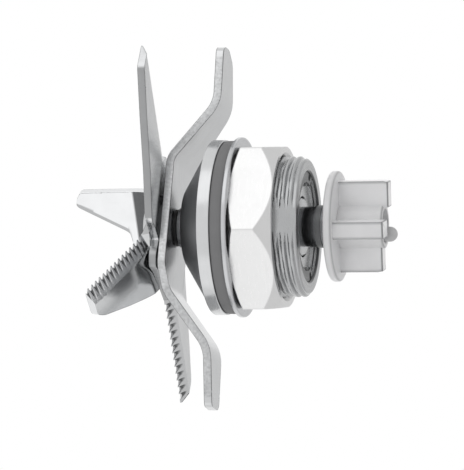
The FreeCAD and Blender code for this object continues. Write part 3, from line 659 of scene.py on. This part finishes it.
@dataclass
class Blade:
    """One sheet-steel blade with two arms, as a closed section carried along its length.

    Attributes:
        node: CAD node that it replaces.
        turn_deg: Turn of the plate's own axis about Z.
        low: Height of the flat part's underside in mm.
        thick: Sheet thickness in mm.
        outline: Flat outline as (s, t) corners in mm, anticlockwise.
        bends: For the +s arm and the -s arm, bends as (start, middle radius, degrees).
        edges: Ground edge of the +s arm and of the -s arm, if any.
        rounding: How far from each corner of the outline its rounding starts, in mm.
        highlighted_edges: Stretch of s whose sheared edges are left undarkened, a painted highlight.
        pressed: Stretch of s whose top is darkened, a painted shade for the dark parts that the bend
            reflects.
        torn: How dull its sheared edges are, from 0 to 1.
        roll: Radius of the sheared edges' corners in mm.
        lip: Thickness left at a ground edge in mm.
    """

    node: str
    turn_deg: float
    low: float
    thick: float
    outline: Corners
    bends: tuple[Bends, Bends]
    edges: tuple[Ground | None, Ground | None] = (None, None)
    rounding: float = 0.9
    highlighted_edges: tuple[float, float] = (0.0, 0.0)
    pressed: tuple[float, float] = (0.0, 0.0)
    torn: float = 1.0
    roll: float = 0.18
    lip: float = 0.05

    def sides(self) -> tuple[Array, Array]:
        """Part the rounded outline at its two tips.

        Returns:
            Its lower and upper edge as (s, t) points, each with s rising.
        """
        loop = lathe_profile(self.outline, self.rounding, 0.5)
        first, last = int(np.argmin(loop[:, 0])), int(np.argmax(loop[:, 0]))
        loop = np.roll(loop, -first, axis=0)
        last = (last - first) % len(loop)
        lower, upper = loop[: last + 1], np.concatenate([loop[last:], loop[:1]])[::-1]
        for edge in (lower, upper):
            edge[:, 0] = np.maximum.accumulate(edge[:, 0])
        return lower, upper

    def stations(self, lower: Array, upper: Array) -> Array:
        """Distances along the plate at which its section is taken.

        They lie close together at the tips, in the bends, where a bevel begins and along
        the scallops.

        Args:
            lower: The outline's lower edge.
            upper: Its upper edge.

        Returns:
            The distances in mm, rising.
        """
        first, last = lower[0, 0], lower[-1, 0]
        ends = np.array(TIP_STATIONS)
        marks = [lower[:, 0], upper[:, 0], first + ends, last - ends, np.arange(first, last, WIDEST_GAP)]
        for sign, arm_bends, edge in zip((1, -1), self.bends, self.edges):
            for start, radius, angle in arm_bends:
                end = start + radius * math.radians(abs(angle))
                marks.append(sign * np.linspace(start, end, BEND_STATIONS))
            if edge:
                begin = abs(edge.first[0])
                marks.append(sign * np.linspace(begin - RUN_IN, begin, RUN_IN_STATIONS))
                if edge.count:
                    reach = edge.start + edge.pitch * edge.count
                    number = (edge.count + 1) * SCALLOP_STATIONS
                    marks.append(sign * np.linspace(edge.start - edge.pitch, reach, number))
        found = np.unique(np.round(np.concatenate(marks), 4))
        inside = found[(found >= first) & (found <= last)]
        kept = inside[np.concatenate([[True], np.diff(inside) > LEAST_GAP])]
        kept[-1] = last
        return kept

    def fold(self, along: Array, height: Array) -> tuple[Array, Array]:
        """Where points of the flat sheet lie once it is bent.

        Each bend turns the line ahead of it about a centre one radius off the middle
        line, so a point at height h moves on a circle of radius R - h or R + h.

        Args:
            along: Flat distance along the plate in mm.
            height: Height off the sheet's middle.

        Returns:
            Distance from the axis along the plate's own direction, and height.
        """
        out_x, out_z = along.copy(), height.copy()
        for sign, arm_bends in zip((1, -1), self.bends):
            mine = along * sign > 0
            s = along[mine] * sign
            x, z, heading, place = np.zeros_like(s), np.zeros_like(s), np.zeros_like(s), np.zeros_like(s)
            for start, radius, degrees in arm_bends:
                turn = math.radians(degrees)
                past = s > start
                run = np.where(past, start - place, 0.0)
                x, z = x + run * np.cos(heading), z + run * np.sin(heading)
                length = radius * abs(turn)
                share = np.clip((s - start) / length, 0, 1)
                side = math.copysign(1.0, turn)
                after = heading + turn * share
                x = x + radius * side * (np.sin(after) - np.sin(heading)) * past
                z = z - radius * side * (np.cos(after) - np.cos(heading)) * past
                place = np.where(past, start + length * share, place)
                heading = np.where(past, after, heading)
            x, z = x + (s - place) * np.cos(heading), z + (s - place) * np.sin(heading)
            h = height[mine]
            out_x[mine] = (x - h * np.sin(heading)) * sign
            out_z[mine] = z + h * np.cos(heading)
        return out_x, out_z

    def faces(self, s: Array, t: Array) -> tuple[Array, Array, Array, Array]:
        """Heights of the top and the underside at flat places, and the mark of each there: dull grinding, and
        painted shade in the scallops and on the bend.

        Args:
            s: Flat distance along the plate in mm.
            t: Flat distance across it.

        Returns:
            Top, underside, and the mark of each, with bevels and scallops taken out.
        """
        height = {True: np.full_like(t, self.thick / 2), False: np.full_like(t, -self.thick / 2)}
        # The bend's top is marked dark, a painted shade for the dark parts it reflects
        mark = {True: within(s, self.pressed, BEND_SHADE_FADE, FADE), False: np.zeros_like(t)}
        for sign, edge in zip((1, -1), self.edges):
            if not edge:
                continue
            gone = np.clip(edge.rise(s, t, self.thick), 0, self.thick - self.lip) * (s * sign > 0)
            height[edge.on_top] = height[edge.on_top] - gone * (1 if edge.on_top else -1)
            # Scallop hollows are darkened with their depth, a painted shade; a ground bevel adds its own
            # dullness
            shade_and_dull = np.clip(edge.bite(s, t) / FULL_SHADE_DEPTH, 0, 1) + edge.dull * (gone > LEAST_GROUND)
            mark[edge.on_top] = np.maximum(mark[edge.on_top], np.clip(shade_and_dull, 0, 1))
        return height[True], height[False], mark[True], mark[False]

    def limits(self, s: Array, lower: Array, upper: Array) -> dict[int, tuple[Array, Array]]:
        """Where the sheet ends and where its grinding begins.

        A scallop that comes through the sheet moves its end in. Three rounds of the gap
        between the ground face and the lip, over the bevel's slope, settle where.

        Args:
            s: Stations along the plate in mm.
            lower: The outline's lower edge.
            upper: Its upper edge.

        Returns:
            For each side of t, the rim and the inner line at each station.
        """
        found: dict[int, tuple[Array, Array]] = {}
        outer = {-1: np.interp(s, *lower.T), 1: np.interp(s, *upper.T)}
        middle = (outer[1] + outer[-1]) / 2
        for side in (-1, 1):
            rim = outer[side].copy()
            inner = rim + PLAIN_INNER * (middle - rim)
            for sign, edge in zip((1, -1), self.edges):
                if not edge or edge.side != side:
                    continue
                mine = s * sign > 0
                run = edge.width / (self.thick * edge.share)
                for _ in range(3):
                    over = edge.rise(s, rim, self.thick) - (self.thick - self.lip)
                    rim = np.where(mine & (over > 0), rim - side * over * run, rim)
                depth = np.clip(edge.rise(s, rim, self.thick), 0, None) * run
                inner = np.where(mine & (depth > LEAST_GROUND), rim - side * depth, inner)
            rim = np.where((rim - middle) * side < 0, middle, rim)
            inner = np.where((inner - middle) * side < 0, middle, inner)
            found[side] = (rim, inner)
        return found

    def rolled(self, side: int, rim: Array, top: Array, under: Array, most: Array, dull: Array) -> Array:
        """Carry the section round one edge of the sheet, from its top to its underside.

        Each corner is a quarter circle of radius r. At the angle a it lies r(1 - sin a) in
        from the rim and r(1 - cos a) under the top, and the other way about below.

        Args:
            side: +1 or -1, the side of t.
            rim: Where the sheet ends at each station, in mm.
            top: Height of the top there.
            under: Height of the underside there.
            most: Largest radius that there is room for.
            dull: Mark of the edge between its two corners.

        Returns:
            Flat t, height and mark as an array of shape (3, stations, 8).
        """
        turns = np.linspace(0, math.pi / 2, 4)
        sine, cosine = 1 - np.sin(turns), 1 - np.cos(turns)
        radius = np.minimum(self.roll, np.minimum(0.3 * (top - under), most))[:, None]
        t = rim[:, None] - side * radius * np.concatenate([sine, cosine])
        height = np.concatenate([top[:, None] - radius * cosine, under[:, None] + radius * sine], axis=1)
        between = np.array([0, 0, 1, 1, 1, 1, 0, 0])
        return np.stack([t, height, dull[:, None] * between])

    def section(self, s: Array, lower: Array, upper: Array) -> Array:
        """Take the closed section at each station.

        It runs over the top toward +t, down that edge, back under the sheet and up the
        other edge, with its four corners rolled. Its points lie at set places between the
        rim, the inner line, the other inner line and the other rim.

        Args:
            s: Stations along the plate in mm.
            lower: The outline's lower edge.
            upper: Its upper edge.

        Returns:
            Flat t, height and mark as an array of shape (3, stations, points).
        """
        limits = self.limits(s, lower, upper)
        lines = np.stack([limits[-1][0], limits[-1][1], limits[1][1], limits[1][0]])
        places = np.array(SECTION_PLACES)
        wide = np.concatenate([places, 1 + places, 2 + places, [3.0]])
        line = np.minimum(wide.astype(int), 2)
        part = (wide - line)[:, None]
        across = (lines[line] * (1 - part) + lines[line + 1] * part).T
        flat_s = np.broadcast_to(s[:, None], across.shape)
        top, under, top_mark, under_mark = self.faces(flat_s, across)
        # Sheared edges are darkened by tearing, but not near the tips or along the highlighted stretch, which
        # are painted highlights
        near_tip = np.clip((np.abs(s) - np.abs(s).max() + TIP) / FADE, 0, 1)
        dull = self.torn * (1 - near_tip) * (1 - within(s, self.highlighted_edges, FADE, FADE))
        most = 0.45 * (across[:, -1] - across[:, 0])
        over = np.stack([across, top, top_mark])[..., 1:-1]
        back = np.stack([across, under, under_mark])[..., -2:0:-1]
        down = self.rolled(1, across[:, -1], top[:, -1], under[:, -1], most, dull)
        up = self.rolled(-1, across[:, 0], top[:, 0], under[:, 0], most, dull)[..., ::-1]
        return np.concatenate([over, down, back, up], axis=-1)

    def build(self, finish: bpy.types.Material) -> None:
        """Make the blade from its sections, bent and turned to its place.

        Args:
            finish: The blade's material.
        """
        lower, upper = self.sides()
        s = self.stations(lower, upper)
        t, h, mark = self.section(s, lower, upper)
        flat_s = np.broadcast_to(s[:, None], t.shape).copy()
        x, z = self.fold(flat_s.ravel(), h.ravel())
        turn = math.radians(self.turn_deg)
        x, z = x.reshape(t.shape), z.reshape(t.shape) + self.low + self.thick / 2
        turned_x = x * math.cos(turn) - t * math.sin(turn)
        turned_y = x * math.sin(turn) + t * math.cos(turn)
        points, flat = np.stack([turned_x, turned_y, z], -1), np.stack([flat_s, t], -1)
        piece = surface("ground_" + self.node, points, around=True, uv=flat, sharp_deg=32, mark=mark)
        mount(piece, finish, "rotor", self.node)


def mirrored(half: Corners) -> Corners:
    """A whole point-symmetric outline from one half of it."""
    return (*half, *((-s, -t) for s, t in half))


@dataclass
class BladeStack:
    """The three blades on the shaft.

    Attributes:
        lower: The lower blade's whole outline, as (s, t) corners in mm.
        middle_half: Half of the middle blade's outline.
        upper: The upper blade's whole outline, its upright arm toward +s.
    """

    lower: Corners = (
        (-38.95, -2.8), (-26.0, -5.6), (-13.0, -6.0), (-8.9, -10.5), (11.5, -5.6), (28.0, -4.5),
        (38.6, -3.3), (39.5, -1.8), (39.7, 1.6), (37.4, 5.2), (26.0, 6.8), (20.5, 9.0), (15.0, 12.6),
        (11.5, 13.6), (6.0, 10.5), (-11.5, 5.6), (-28.0, 4.5), (-38.2, 3.6), (-39.25, 2.2),
    )
    middle_half: Corners = (
        (1.7, -7.8), (7.5, -11.2), (16.5, -8.2), (28.0, -5.8), (37.2, -3.4), (39.7, 2.0), (14.0, 4.8),
        (4.5, 10.5), (1.9, 13.0), (-0.5, 11.5),
    )
    upper: Corners = (
        (-33.0, -3.6), (-10.0, -3.9), (0.0, -3.7), (6.0, -2.8), (15.0, -2.1), (28.2, -1.9), (29.0, -0.6),
        (29.5, 1.8), (19.1, 7.9), (18.8, 10.3), (-6.0, 10.3), (-14.3, 8.2), (-20.0, 6.6), (-29.4, 3.6),
        (-31.8, 2.2),
    )

    def build(self) -> None:
        """Make and dress the three blades."""
        plain_steel, edged_steel, buffed_steel = (
            steel.build() for steel in (BLADE_STEEL, EDGED_STEEL, BUFFED_STEEL)
        )
        # Plain and bent twice on each arm, down and level again
        steep = ((12.0, 4.0, -39.0), (25.2, 7.0, 39.0))
        flatter = ((12.0, 4.0, -37.0), (25.2, 7.0, 37.0))
        Blade("lower_blade", 10.0, 10.2, 1.6, self.lower, (steep, flatter), rounding=1.2).build(plain_steel)
        # Almost flat, ground plain on one arm and scalloped on the other
        sagging = (((6.0, 200.0, -0.8),), ((6.0, 200.0, 0.5),))
        plain = Ground(1, (14.0, 4.8), (39.5, 2.0), 2.6)
        serrated = Ground(-1, (-14.0, -4.8), (-39.7, -2.0), 2.8, count=14, start=15.8, pitch=1.70, reach=2.3)
        Blade(
            "middle_blade", -27.0, 12.3, 1.5, mirrored(self.middle_half), sagging, (plain, serrated),
            highlighted_edges=(0.8, 8.0), torn=0.55,
        ).build(edged_steel)
        # One arm bent upright with a short blunt bevel, the other raised and scalloped
        bends = (((5.2, 7.6, 90.0),), ((9.0, 10.0, 17.0),))
        upright = Ground(1, (19.1, 7.9), (29.5, 1.8), 1.2, on_top=True, dull=0.5, share=0.5)
        raised = Ground(
            -1, (-9.8, -3.9), (-33.0, -3.6), 3.2,
            count=15, start=11.3, pitch=1.52, radius=0.6, depth=0.36, reach=2.6,
        )
        Blade(
            "upper_blade", 61.6, 13.8, 1.5, self.upper, bends, (upright, raised),
            highlighted_edges=(8.0, 40.0), pressed=(12.0, 17.3), torn=0.55,
        ).build(buffed_steel)


@dataclass
class Housing:
    """Flange, cone and threaded barrel, turned from one bar.

    Attributes:
        pitch: Thread pitch in mm.
        depth: Thread depth in mm.
        run: Heights between which the thread is cut.
        fades: Lengths over which it fades in from those two heights.
        neck: Height under which the barrel is threaded and milled.
        threaded: Radius beyond which the thread is cut.
        milled: Radius beyond which the flat is milled.
        key: Distance of the milled flat from the axis in mm.
        key_deg: Direction of the flat.
        flange: Corners of the flange and its cone as (radius, height).
        barrel: Corners of the barrel and its groove for the retaining ring.
    """

    pitch: float = 1.5
    depth: float = 0.6
    run: tuple[float, float] = (-16.4, -2.6)
    fades: tuple[float, float] = (0.6, 0.8)
    neck: float = -2.4
    threaded: float = 13.1
    milled: float = 12.9
    key: float = 13.22
    key_deg: float = -84.0
    flange: Corners = ((4.4, 0.02), (17.5, 0.02), (17.5, 2.5), (16.8, 2.5), (7.9, 8.0), (4.4, 8.0))
    barrel: Corners = (
        (8.0, 0.0), (8.0, -0.5), (11.0, -0.5), (11.0, -15.5), (11.4, -15.5), (11.4, -16.1),
        (11.0, -16.1), (11.0, -16.3), (11.3, -16.6), (13.2, -16.6), (14.0, -15.8), (14.0, 0.0),
    )

    def thread(self, radius: Array, height: Array, angle: Array) -> Array:
        """Cut a right-hand helix into the barrel, and mill its flat.

        The groove's depth is a triangle wave of height / pitch - angle / turn, which climbs
        one pitch per anticlockwise turn. The wave is 2.6 high and sunk by 0.8, then cut off
        at 0 and 1, so crests and roots are flat. The milled flat lies at its distance over
        the cosine of the angle from its direction.

        Args:
            radius: Radius of each point in mm.
            height: Its height.
            angle: Its angle round the axis in radians.

        Returns:
            The new radii.
        """
        phase = (height / self.pitch - angle / math.tau) % 1.0
        wave = np.clip(2.6 * (1 - np.abs(2 * phase - 1)) - 0.8, 0, 1)
        groove = self.depth * wave * within(height, self.run, *self.fades)
        cut = np.where((radius > self.threaded) & (height < self.neck), radius - groove, radius)
        # Held at 0.2, where the flat is far outside the barrel, so that nothing divides by 0
        facing = np.maximum(np.cos(angle - math.radians(self.key_deg)), 0.2)
        flat = np.minimum(cut, self.key / facing)
        return np.where((height < self.neck) & (radius > self.milled), flat, cut)

    def build(self) -> None:
        """Turn the flange with its cone, and the bored and threaded barrel under it."""
        profile = lathe_profile(self.flange, 0.16, 0.35)
        rim_top, cone_fade = 2.5, 0.2
        # The cone takes the darker mark colour, a painted shade under the blades
        cone = np.clip((profile[:, 1] - rim_top) / cone_fade, 0, 1)
        piece = lathe("turned_flange", profile, 256, sharp_deg=40, mark=cone)
        mount(piece, RIM_STEEL.build(), "housing", "bearing_housing")
        profile = lathe_profile(self.barrel, 0.12, 0.14)
        # The bore's mouth is marked near black, a painted shade in the recess
        bore_edge, bore_fade = 11.35, 0.15
        mouth = np.clip((bore_edge - profile[:, 0]) / bore_fade, 0, 1)
        piece = lathe("threaded_barrel", profile, 256, self.thread, 40, mark=mouth)
        mount(piece, THREAD_STEEL.build(), "housing", "bearing_housing")


@dataclass
class JarClamp:
    """Gasket, washer and nut that hold the housing to a jar's floor.

    Attributes:
        bore: Radius of the nut's hole, over the thread, in mm.
        apothem: Half the nut's size across its flats.
        top: Height of the nut's seat.
        foot: Height of its free end.
        facet_deg: Direction of one of its corners.
        seat_slope: Fall of the small chamfer at the seat, per mm of radius.
        nose_slope: Rise of the long chamfer at the free end, per mm of radius.
        soft: How far in from an edge of the nut its rounding starts.
        broken: Width of the chamfers at the ends of its bore.
        gasket: Corners of the gasket as (radius, height).
        bulge: How far the squeezed gasket bulges.
        washer: Corners of the washer.
    """

    bore: float = 14.06
    apothem: float = 16.0
    top: float = -3.5
    foot: float = -12.1
    facet_deg: float = -91.4
    seat_slope: float = 0.577
    nose_slope: float = 1.235
    soft: float = 0.12
    broken: float = 0.8
    gasket: Corners = ((14.0, -2.5), (17.25, -2.5), (17.25, 0.0), (14.0, 0.0))
    bulge: float = 0.06
    washer: Corners = ((14.08, -3.5), (18.0, -3.5), (18.0, -2.5), (14.08, -2.5))

    def nut_points(self, stations: int = 432) -> Array:
        """The nut as a profile that changes round the axis.

        The outer radius is the apothem over the cosine of the angle from the facet's middle,
        with broken corners. A cone cuts each end, so the height where facet and cone meet
        follows that radius and draws the arcs of a chamfered nut.

        Args:
            stations: Number of profiles round the axis.

        Returns:
            Array of shape (stations, points of the profile, 3) in mm.
        """
        angle = np.linspace(0, math.tau, stations, endpoint=False)
        from_middle = (angle - math.radians(self.facet_deg)) % (math.tau / 6) - math.tau / 12
        corner = self.apothem / math.cos(math.tau / 12) - self.soft
        outer = np.minimum(self.apothem / np.cos(from_middle), corner)
        nose, seat = self.apothem - 0.05, self.apothem + 0.15
        face, seat_face = np.minimum(outer, nose), np.minimum(outer, seat)
        low = self.foot + np.maximum(outer - nose, 0) * self.nose_slope
        high = self.top - np.maximum(outer - seat, 0) * self.seat_slope
        # Points of the nose chamfer: share of the way up it, and lift over its cone
        slope = [
            (face + (outer - face) * share, self.foot + (low - self.foot) * share + lift)
            for share, lift in ((0.04, 0.02), (0.35, 0.0), (0.7, 0.0))
        ]
        profile = [
            (self.bore + self.broken, self.foot),
            (self.bore + self.broken + 0.2, self.foot),
            (face - self.soft, self.foot),
            *slope,
            (outer - 0.05, low - 0.06),
            (outer, low + self.soft),
            (outer, low * 0.6 + high * 0.4),
            (outer, high - self.soft),
            (outer - 0.05, high + 0.03),
            (seat_face + (outer - seat_face) * 0.04, self.top + (high - self.top) * 0.04 - 0.01),
            (seat_face - self.soft, self.top),
            (self.bore + self.broken, self.top),
            (self.bore, self.top - self.broken),
            (self.bore, self.foot + self.broken),
        ]
        radius = np.stack([np.broadcast_to(point[0], angle.shape) for point in profile], axis=1)
        height = np.stack([np.broadcast_to(point[1], angle.shape) for point in profile], axis=1)
        return np.stack([radius * np.cos(angle)[:, None], radius * np.sin(angle)[:, None], height], -1)

    def build(self) -> None:
        """Make the gasket, the washer and the nut."""
        ring = lathe_profile(self.gasket, 0.35, 0.4)
        thick, outer = -self.gasket[0][1], self.gasket[1][0]
        swell = np.sin(np.clip(-ring[:, 1] / thick, 0, 1) * math.pi)
        ring[:, 0] += self.bulge * swell * (ring[:, 0] > outer - 0.25)
        piece = lathe("moulded_gasket", ring, 224)
        mount(piece, GREY_RUBBER.build(), "housing", "jar_gasket")
        piece = lathe("stamped_washer", lathe_profile(self.washer, 0.3, 0.4), 224)
        mount(piece, WASHER_STEEL.build(), "washer", "jar_washer")
        piece = surface("chamfered_nut", self.nut_points(), around=True, along=True, sharp_deg=14)
        mount(piece, NUT_STEEL.build(), "nut", "jar_nut")


# Ends of the coupling's arms: height over the foot in mm and share of the section left
# there, so that the end is rounded and then closed
ARM_END = ((0.4, 1.0), (0.18, 1.0), (0.05, 0.985), (0.0, 0.94), (0.0, 0.85), (0.0, 0.4), (0.0, 0.0))


@dataclass
class Coupling:
    """Moulded disc and four-armed hub that plug into the motor base, with the end pin.

    Attributes:
        top: Height of the floor of the disc's recess in mm.
        disc: Disc radius, and its thickness under that floor.
        rise: How far the disc's rim stands above its recess around the shaft's collar.
        recess: Radius of that recess.
        hub: Hub radius and its end's height.
        bore: Radius of the bore.
        reach: Radius to the arms' outer faces.
        width: Width of an arm.
        feet: Height of each arm's end; two arms are moulded long and two short.
        arm_deg: Direction of the first arm.
        lead: How far the arms' outer ends lean in.
        pin_radius: Radius of the pin.
        pin_x: How far the pin stands from the axis, along X.
        pin_heights: Heights of its root, of the end of its straight side and of its dome's centre.
    """

    top: float = -21.8
    disc: tuple[float, float] = (11.0, 1.2)
    rise: float = 0.5
    recess: float = 5.6
    hub: tuple[float, float] = (4.5, -32.0)
    bore: float = 3.2
    reach: float = 9.05
    width: float = 3.4
    feet: tuple[float, float, float, float] = (-33.0, -30.6, -31.5, -33.0)
    arm_deg: float = -6.0
    lead: float = 0.12
    pin_radius: float = 1.5
    pin_x: float = -1.65
    pin_heights: tuple[float, float, float] = (-30.0, -32.0, -32.9)

    def arm_points(self, turn: float, foot: float) -> tuple[Array, Array]:
        """One arm as a rounded rectangle carried down Z, closed by shrinking to a point at its ends.

        Args:
            turn: Direction of the arm in radians.
            foot: Height of its end.

        Returns:
            The points and their marks: 1 on the long corners and the end's rim, where shade is painted.
        """
        near, far, half = self.bore + 0.6, self.reach, self.width / 2
        section = lathe_profile([(near, -half), (far, -half), (far, half), (near, half)], 0.2, 0.5)
        section_mark = near_corners(section, [(far, -half), (far, half)], 0.3)
        share = (section[:, 0] - near) / (far - near)
        middle = (near + far - self.lead) / 2
        start = self.top - self.disc[1] + 0.3
        levels = [(start, 0.0, 0.0), (start, 0.0, 1.0), (start - 2.0, 0.0, 1.0), (foot + 1.0, 0.0, 1.0)]
        levels += [(foot + over, self.lead, spread) for over, spread in ARM_END]
        rows, marks = [], []
        for place, lean, spread in levels:
            outward = middle + (section[:, 0] - lean * share - middle) * spread
            rows.append(np.stack([outward, section[:, 1] * spread, np.full(len(section), place)], -1))
            at_end = float(0.9 < spread <= 1.0 and place < foot + 0.3)
            marks.append(np.maximum(section_mark, at_end))
        x, y, z = np.moveaxis(np.stack(rows), -1, 0)
        c, s = math.cos(turn), math.sin(turn)
        turned = np.stack([x * c - y * s, x * s + y * c, z], -1)
        return turned[:, ::-1], np.stack(marks)[:, ::-1]

    def build(self) -> None:
        """Make the disc, the hub, the arms and the pin."""
        finish = COUPLING_PLASTIC.build()
        radius, thick = self.disc
        low, crown = self.top - thick, self.top + self.rise
        corners = [
            (self.bore, low), (radius, low), (radius, crown), (self.recess, crown),
            (self.recess, self.top), (self.bore, self.top),
        ]
        profile = lathe_profile(corners, 0.6, 0.35)
        # The disc's outer rim and the hub's end corners are marked dark, a painted shade
        disc = lathe("coupling_disc", profile, 192, mark=near_corners(profile, [(radius, low)], 0.35))
        hub_radius, hub_end = self.hub
        rims = [(self.bore, hub_end), (hub_radius, hub_end)]
        profile = lathe_profile([*rims, (hub_radius, low + 0.2), (self.bore, low + 0.2)], 0.5, 0.4)
        hub = lathe("coupling_hub", profile, 128, mark=near_corners(profile, rims, 0.35))
        pieces = [disc, hub]
        for step, foot in enumerate(self.feet):
            points, mark = self.arm_points(math.radians(self.arm_deg + 90 * step), foot)
            name = f"coupling_arm_{step + 1}"
            pieces.append(surface(name, points, around=True, sharp_deg=40, mark=mark))
        for piece in pieces:
            mount(piece, finish, "rotor", "drive_coupling")
        root, side_end, centre = self.pin_heights
        quarter = np.linspace(0, math.pi / 2, 9)
        dome = np.stack([self.pin_radius * np.sin(quarter), centre - self.pin_radius * np.cos(quarter)], -1)
        side = [(self.pin_radius, side_end), (self.pin_radius, root)]
        pin = lathe("gated_pin", np.concatenate([[(0.0, root)], dome, side]), 64, offset=self.pin_x)
        mount(pin, PIN_PLASTIC.build(), "rotor", "coupling_pin")


@dataclass
class Studio:
    """Camera, lights, backdrop and floor.

    Attributes:
        rise_deg: How far the camera looks up along the shaft.
        distance: Distance from the camera to the plane through the origin, in metres.
        focal_px: Pixels per unit of tangent.
        roll_deg: Turn of the picture.
        picture: Width and height of the photograph's frame in pixels.
        centre: Where the origin's line of sight meets the picture.
        ambient: Strength of the white world where the camera and mirrors don't see it.
        floor_half: Half the floor's width in mm.
        floor_height: Its height.
    """

    rise_deg: float = 12.7
    distance: float = 0.7
    focal_px: float = 3500.0
    roll_deg: float = 0.6
    picture: tuple[int, int] = (464, 470)
    centre: tuple[float, float] = (228.0, 227.5)
    ambient: float = 0.85
    floor_half: float = 3000.0
    floor_height: float = -300.0

    def add_camera(self) -> None:
        """Place the camera so that the photograph's right is -Z and its top is +X."""
        rise, roll = math.radians(self.rise_deg), math.radians(self.roll_deg)
        ahead = Vector((0, math.cos(rise), math.sin(rise)))
        right = Vector((0, math.sin(rise), -math.cos(rise)))
        up = Vector((1, 0, 0))
        side = right * math.cos(roll) - up * math.sin(roll)
        top = right * math.sin(roll) + up * math.cos(roll)
        data = bpy.data.cameras.new("camera")
        data.sensor_width = 36.0
        long_side = max(self.picture)
        data.lens = self.focal_px * data.sensor_width / long_side
        data.shift_x = (self.picture[0] / 2 - self.centre[0]) / long_side
        data.shift_y = (self.centre[1] - self.picture[1] / 2) / long_side
        data.clip_start, data.clip_end = 0.01, 20.0
        camera = bpy.data.objects.new("camera", data)
        matrix = Matrix((side, top, -ahead)).transposed().to_4x4()
        matrix.translation = -ahead * self.distance
        camera.matrix_world = matrix
        bpy.context.scene.collection.objects.link(camera)
        bpy.context.scene.camera = camera

    def add_lamp(self, name: str, place: tuple[float, float, float], size: float, watts: float) -> None:
        """Add a square area lamp that faces the origin.

        Args:
            name: The lamp's name.
            place: Its position in metres.
            size: Side of the square in metres.
            watts: Its power.
        """
        data = bpy.data.lights.new(name, "AREA")
        data.shape = "SQUARE"
        data.size = size
        data.energy = watts
        lamp = bpy.data.objects.new(name, data)
        lamp.location = place
        lamp.rotation_euler = Vector(place).to_track_quat("Z", "Y").to_euler()
        bpy.context.scene.collection.objects.link(lamp)

    def add_world(self) -> None:
        """White where the camera, or a mirror or clear piece, sees it, and a plain level elsewhere."""
        world = bpy.data.worlds.new("studio")
        world.use_nodes = True
        tree = world.node_tree
        tree.nodes.clear()
        path = add_node(tree, "ShaderNodeLightPath")
        larger = {"operation": "MAXIMUM"}
        rays = {0: path.outputs["Is Camera Ray"], 1: path.outputs["Is Glossy Ray"]}
        seen = add_node(tree, "ShaderNodeMath", larger, rays)
        through = {0: seen.outputs[0], 1: path.outputs["Is Transmission Ray"]}
        shown = add_node(tree, "ShaderNodeMath", larger, through)
        strengths = {"To Min": self.ambient, "To Max": 1.0}
        level = add_node(tree, "ShaderNodeMapRange", strengths, {0: shown.outputs[0]})
        back = add_node(tree, "ShaderNodeBackground", {"Color": (1, 1, 1, 1)}, {"Strength": level.outputs[0]})
        add_node(tree, "ShaderNodeOutputWorld", links={"Surface": back.outputs[0]})
        bpy.context.scene.world = world

    def add_floor(self) -> None:
        """A plain pale floor well below the part, which keeps its shadow."""
        line = np.linspace(-self.floor_half, self.floor_half, 7)
        across, along = np.meshgrid(line, line)
        floor = surface("floor", np.stack([across, along, np.full_like(across, self.floor_height)], -1))
        material, _, shader = new_tree("pale floor")
        shader.inputs["Base Color"].default_value = linear("F0F0F0")
        shader.inputs["Roughness"].default_value = 0.9
        dress(floor, material)

    def build(self) -> None:
        """Set up the whole studio."""
        bpy.context.scene.view_settings.view_transform = "Standard"
        self.add_camera()
        self.add_world()
        self.add_floor()
        self.add_lamp("key", (0.75, -0.5, 0.2), 0.8, 0.8)
        self.add_lamp("fill", (-0.8, -0.45, 0.15), 0.8, 0.3)


FINISHES: dict[str, Metal | Moulded] = {
    "turned_steel": RIM_STEEL,
    "nut_steel": NUT_STEEL,
    "washer_steel": WASHER_STEEL,
    "bearing_steel": BEARING_STEEL,
    "shaft_steel": SHAFT_STEEL,
    "spring_steel": SPRING_STEEL,
    "grey_rubber": GREY_RUBBER,
    "black_rubber": BLACK_RUBBER,
    "coupling_plastic": COUPLING_PLASTIC,
    "shoulder_plastic": BLACK_RUBBER,
    "cage_steel": WASHER_STEEL,
    "blade_steel": RIM_STEEL,
}


def dress_nodes(frame: dict[str, Any]) -> None:
    """Give every CAD node the finish of its record slot.

    Args:
        frame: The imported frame, with its record and its nodes.
    """
    made = {slot: finish.build() for slot, finish in FINISHES.items()}
    for part in frame["record"]["subparts"]:
        dress(frame["nodes"][part["node"]], made[part["material_slot"]])


def main() -> None:
    """Load the frame, build every sub-assembly and set up the studio."""
    logging.basicConfig(level=logging.INFO)
    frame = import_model()
    dress_nodes(frame)
    BladeStack().build()
    Housing().build()
    JarClamp().build()
    Coupling().build()
    Studio().build()


if __name__ == "__main__":
    main()
